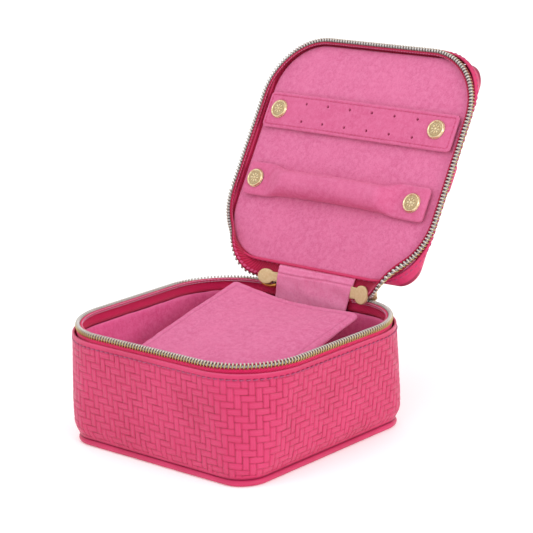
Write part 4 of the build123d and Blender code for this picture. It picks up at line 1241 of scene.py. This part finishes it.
def caps():
    for nm, x, y, face, body, hide in (("earring_fixed", -51.2, -18.7, 58.4, "lid", "snap_cap_earring_fixed"), ("ring_fixed", -51.2, 19.2, 57.8, "lid", "snap_cap_ring_fixed"),
                                       ("earring_free", 49.2, -18.7, 58.4, "earring_strip", "snap_cap_earring_free"), ("ring_free", 49.2, 19.2, 57.8, "ring_roll", "snap_cap_ring_free")):
        R = 4.9
        rho = np.concatenate([np.linspace(0, 3.3, 24), np.linspace(3.45, 4.9, 14)])
        na = 96
        a = np.arange(na) / na * 2 * np.pi
        Rr, A = np.meshgrid(rho, a, indexing="ij")
        # domed button, rolled rim, a flower of eight petals inside a ring of beads
        h = 1.0 - 0.10 * (Rr / R) ** 2
        rim = np.exp(-((Rr - 4.2) / 0.42) ** 2)
        field = -0.30 * ss((Rr - 3.3) / 0.4) * (1 - ss((Rr - 3.9) / 0.2))
        pet = 0.5 + 0.5 * np.cos(8 * A)
        flower = 0.20 * pet * np.exp(-((Rr - 1.75) / 0.62) ** 2) + 0.22 * np.exp(-(Rr / 0.62) ** 2) + 0.12 * (0.5 + 0.5 * np.cos(24 * A)) * np.exp(-((Rr - 2.95) / 0.22) ** 2)
        h = h - 0.30 + 1.5 * flower + 0.34 * rim + field * 0.6
        over = np.clip((Rr - 4.35) / 0.55, 0, 1)
        h = h - (1 - np.sqrt(np.clip(1 - over ** 2, 0, 1))) * 0.95
        P = np.stack([x + Rr * np.cos(A), y + Rr * np.sin(A), face - h], -1)
        skirt = np.stack([x + 4.9 * np.cos(a), y + 4.9 * np.sin(a), np.full(na, face + 0.05)], -1)[None]
        G = np.concatenate([P, skirt])
        # painted shade: darker in the low field between the relief and at the skirt under the cap's edge
        dk = np.concatenate([0.56 * (1 - np.clip((flower + 0.26 * rim) / 0.16, 0, 1)) * (Rr < 3.9), np.full((1, na), 0.5)])
        M = Mesh().add(swing(G), grid_faces(G.shape[0], na, False, True), dark=dk)
        o = M.obj("cap_" + nm, M_CAP)
        give(o, body, "brass", hide)


def handle():
    a0 = 59.2 - 14.0
    rise = 8.5
    R = (a0 ** 2 + rise ** 2) / (2 * rise)
    W = 118.2
    V, F, e, sd = slab(W, 16.3, 2.6, 150, 26, 2.1, edge=0.9, front=lambda x, y, e: -0.14 * np.exp(-((e - 1.8) / 0.3) ** 2) + 0.06 * soft_noise(np.stack([x, y, 0 * x], -1), 10.0))
    x, y, h = V[:, 0], V[:, 1], V[:, 2]
    zz = np.where(np.abs(x) < a0, np.sqrt(np.clip(R * R - x * x, 0, None)) - (R - rise), 0.0)
    zz = zz - 0.9 * np.exp(-((np.abs(x) - a0) / 3.0) ** 2) * 0
    P = np.stack([x, y, 69.32 + zz + h + 1.05], -1)
    P[:, 2] = np.minimum(P[:, 2], 69.2 + rise + 2.2)
    # painted shade along the stitch groove; lighter edges: edge wear and painted highlight
    o = Mesh().add(swing(P), F, wv=1.0, dark=0.25 * np.exp(-((e - 1.8) / 0.3) ** 2), worn=0.15 * ss((0.8 - e) / 0.8)).obj("handle_leather", M_LEATHER)
    give(o, "lid", "leather", "lid_handle")
    f = np.linspace(0, 1, 1200)
    p, _ = rr(W - 3.6, 12.7, 1.6, f)
    zz = np.where(np.abs(p[:, 0]) < a0, np.sqrt(np.clip(R * R - p[:, 0] ** 2, 0, None)) - (R - rise), 0.0)
    path = np.stack([p[:, 0], p[:, 1], 69.32 + zz + 2.05], -1)
    M = Mesh()
    stitches(M, path, np.tile([0, 0, 1.0], (len(path), 1)), 3.1, 2.3, 0.24, lift=-0.08)
    M.V = [swing(np.concatenate(M.V))]
    give(M.obj("handle_stitching", M_THREAD), "lid", "leather")


# ------------------------------------------------------------------ build
base_wall()
piping("bottom_piping_leather", BOTTOM - 2 * PIPE_R, BOTTOM - 2 * PIPE_R, BOTTOM_R - PIPE_R, PIPE_R + 0.1, "base", ("base_piping", "base_piping_cord"))
zips()
base_inside()
inner_flap()
hinge()
sliders()
lid_outside()
lid_inside()
earring_strip()
ring_roll()
caps()
handle()

# ------------------------------------------------------------------ stage and light
bpy.ops.mesh.primitive_plane_add(size=8.0, location=(0, 0, 0))
floor = bpy.context.object
floor.name = "floor"
fm = Mat("floor_pale")
fm.set(Emission_Color=(1, 1, 1, 1), Emission_Strength=0.22, Base_Color=fm.mix(fm.ramp(fm.noise(3.0), 0.3, 0.7), (0.93, 0.93, 0.93, 1), (0.96, 0.96, 0.96, 1)), Roughness=0.9, Specular_IOR_Level=0.1)
floor.data.materials.append(fm.m)
world = bpy.data.worlds.new("studio")
bpy.context.scene.world = world
world.use_nodes = True
bg = world.node_tree.nodes["Background"]
bg.inputs["Color"].default_value = (1.0, 1.0, 1.0, 1.0)
bg.inputs["Strength"].default_value = 1.0


def area(name, loc, target, size, power, col=(1, 1, 1)):
    d = bpy.data.lights.new(name, "AREA")
    d.shape = "RECTANGLE"
    d.size, d.size_y = size
    d.energy = power
    d.color = col
    o = bpy.data.objects.new(name, d)
    bpy.context.scene.collection.objects.link(o)
    v = Matrix(((1, 0, 0), (0, 1, 0), (0, 0, 1)))
    from mathutils import Vector
    z = (Vector(loc) - Vector(target)).normalized()
    o.location = loc
    o.rotation_euler = z.to_track_quat("Z", "Y").to_euler()
    return o


area("key", (-0.35, -1.05, 0.75), (0, 0, 0.07), (0.7, 0.7), 0.4)
area("fill", (1.25, -0.22, 0.58), (0, 0, 0.06), (0.6, 0.6), 4.8)
area("top", (0.1, -0.35, 1.3), (0, 0, 0.0), (0.9, 0.9), 2.0)
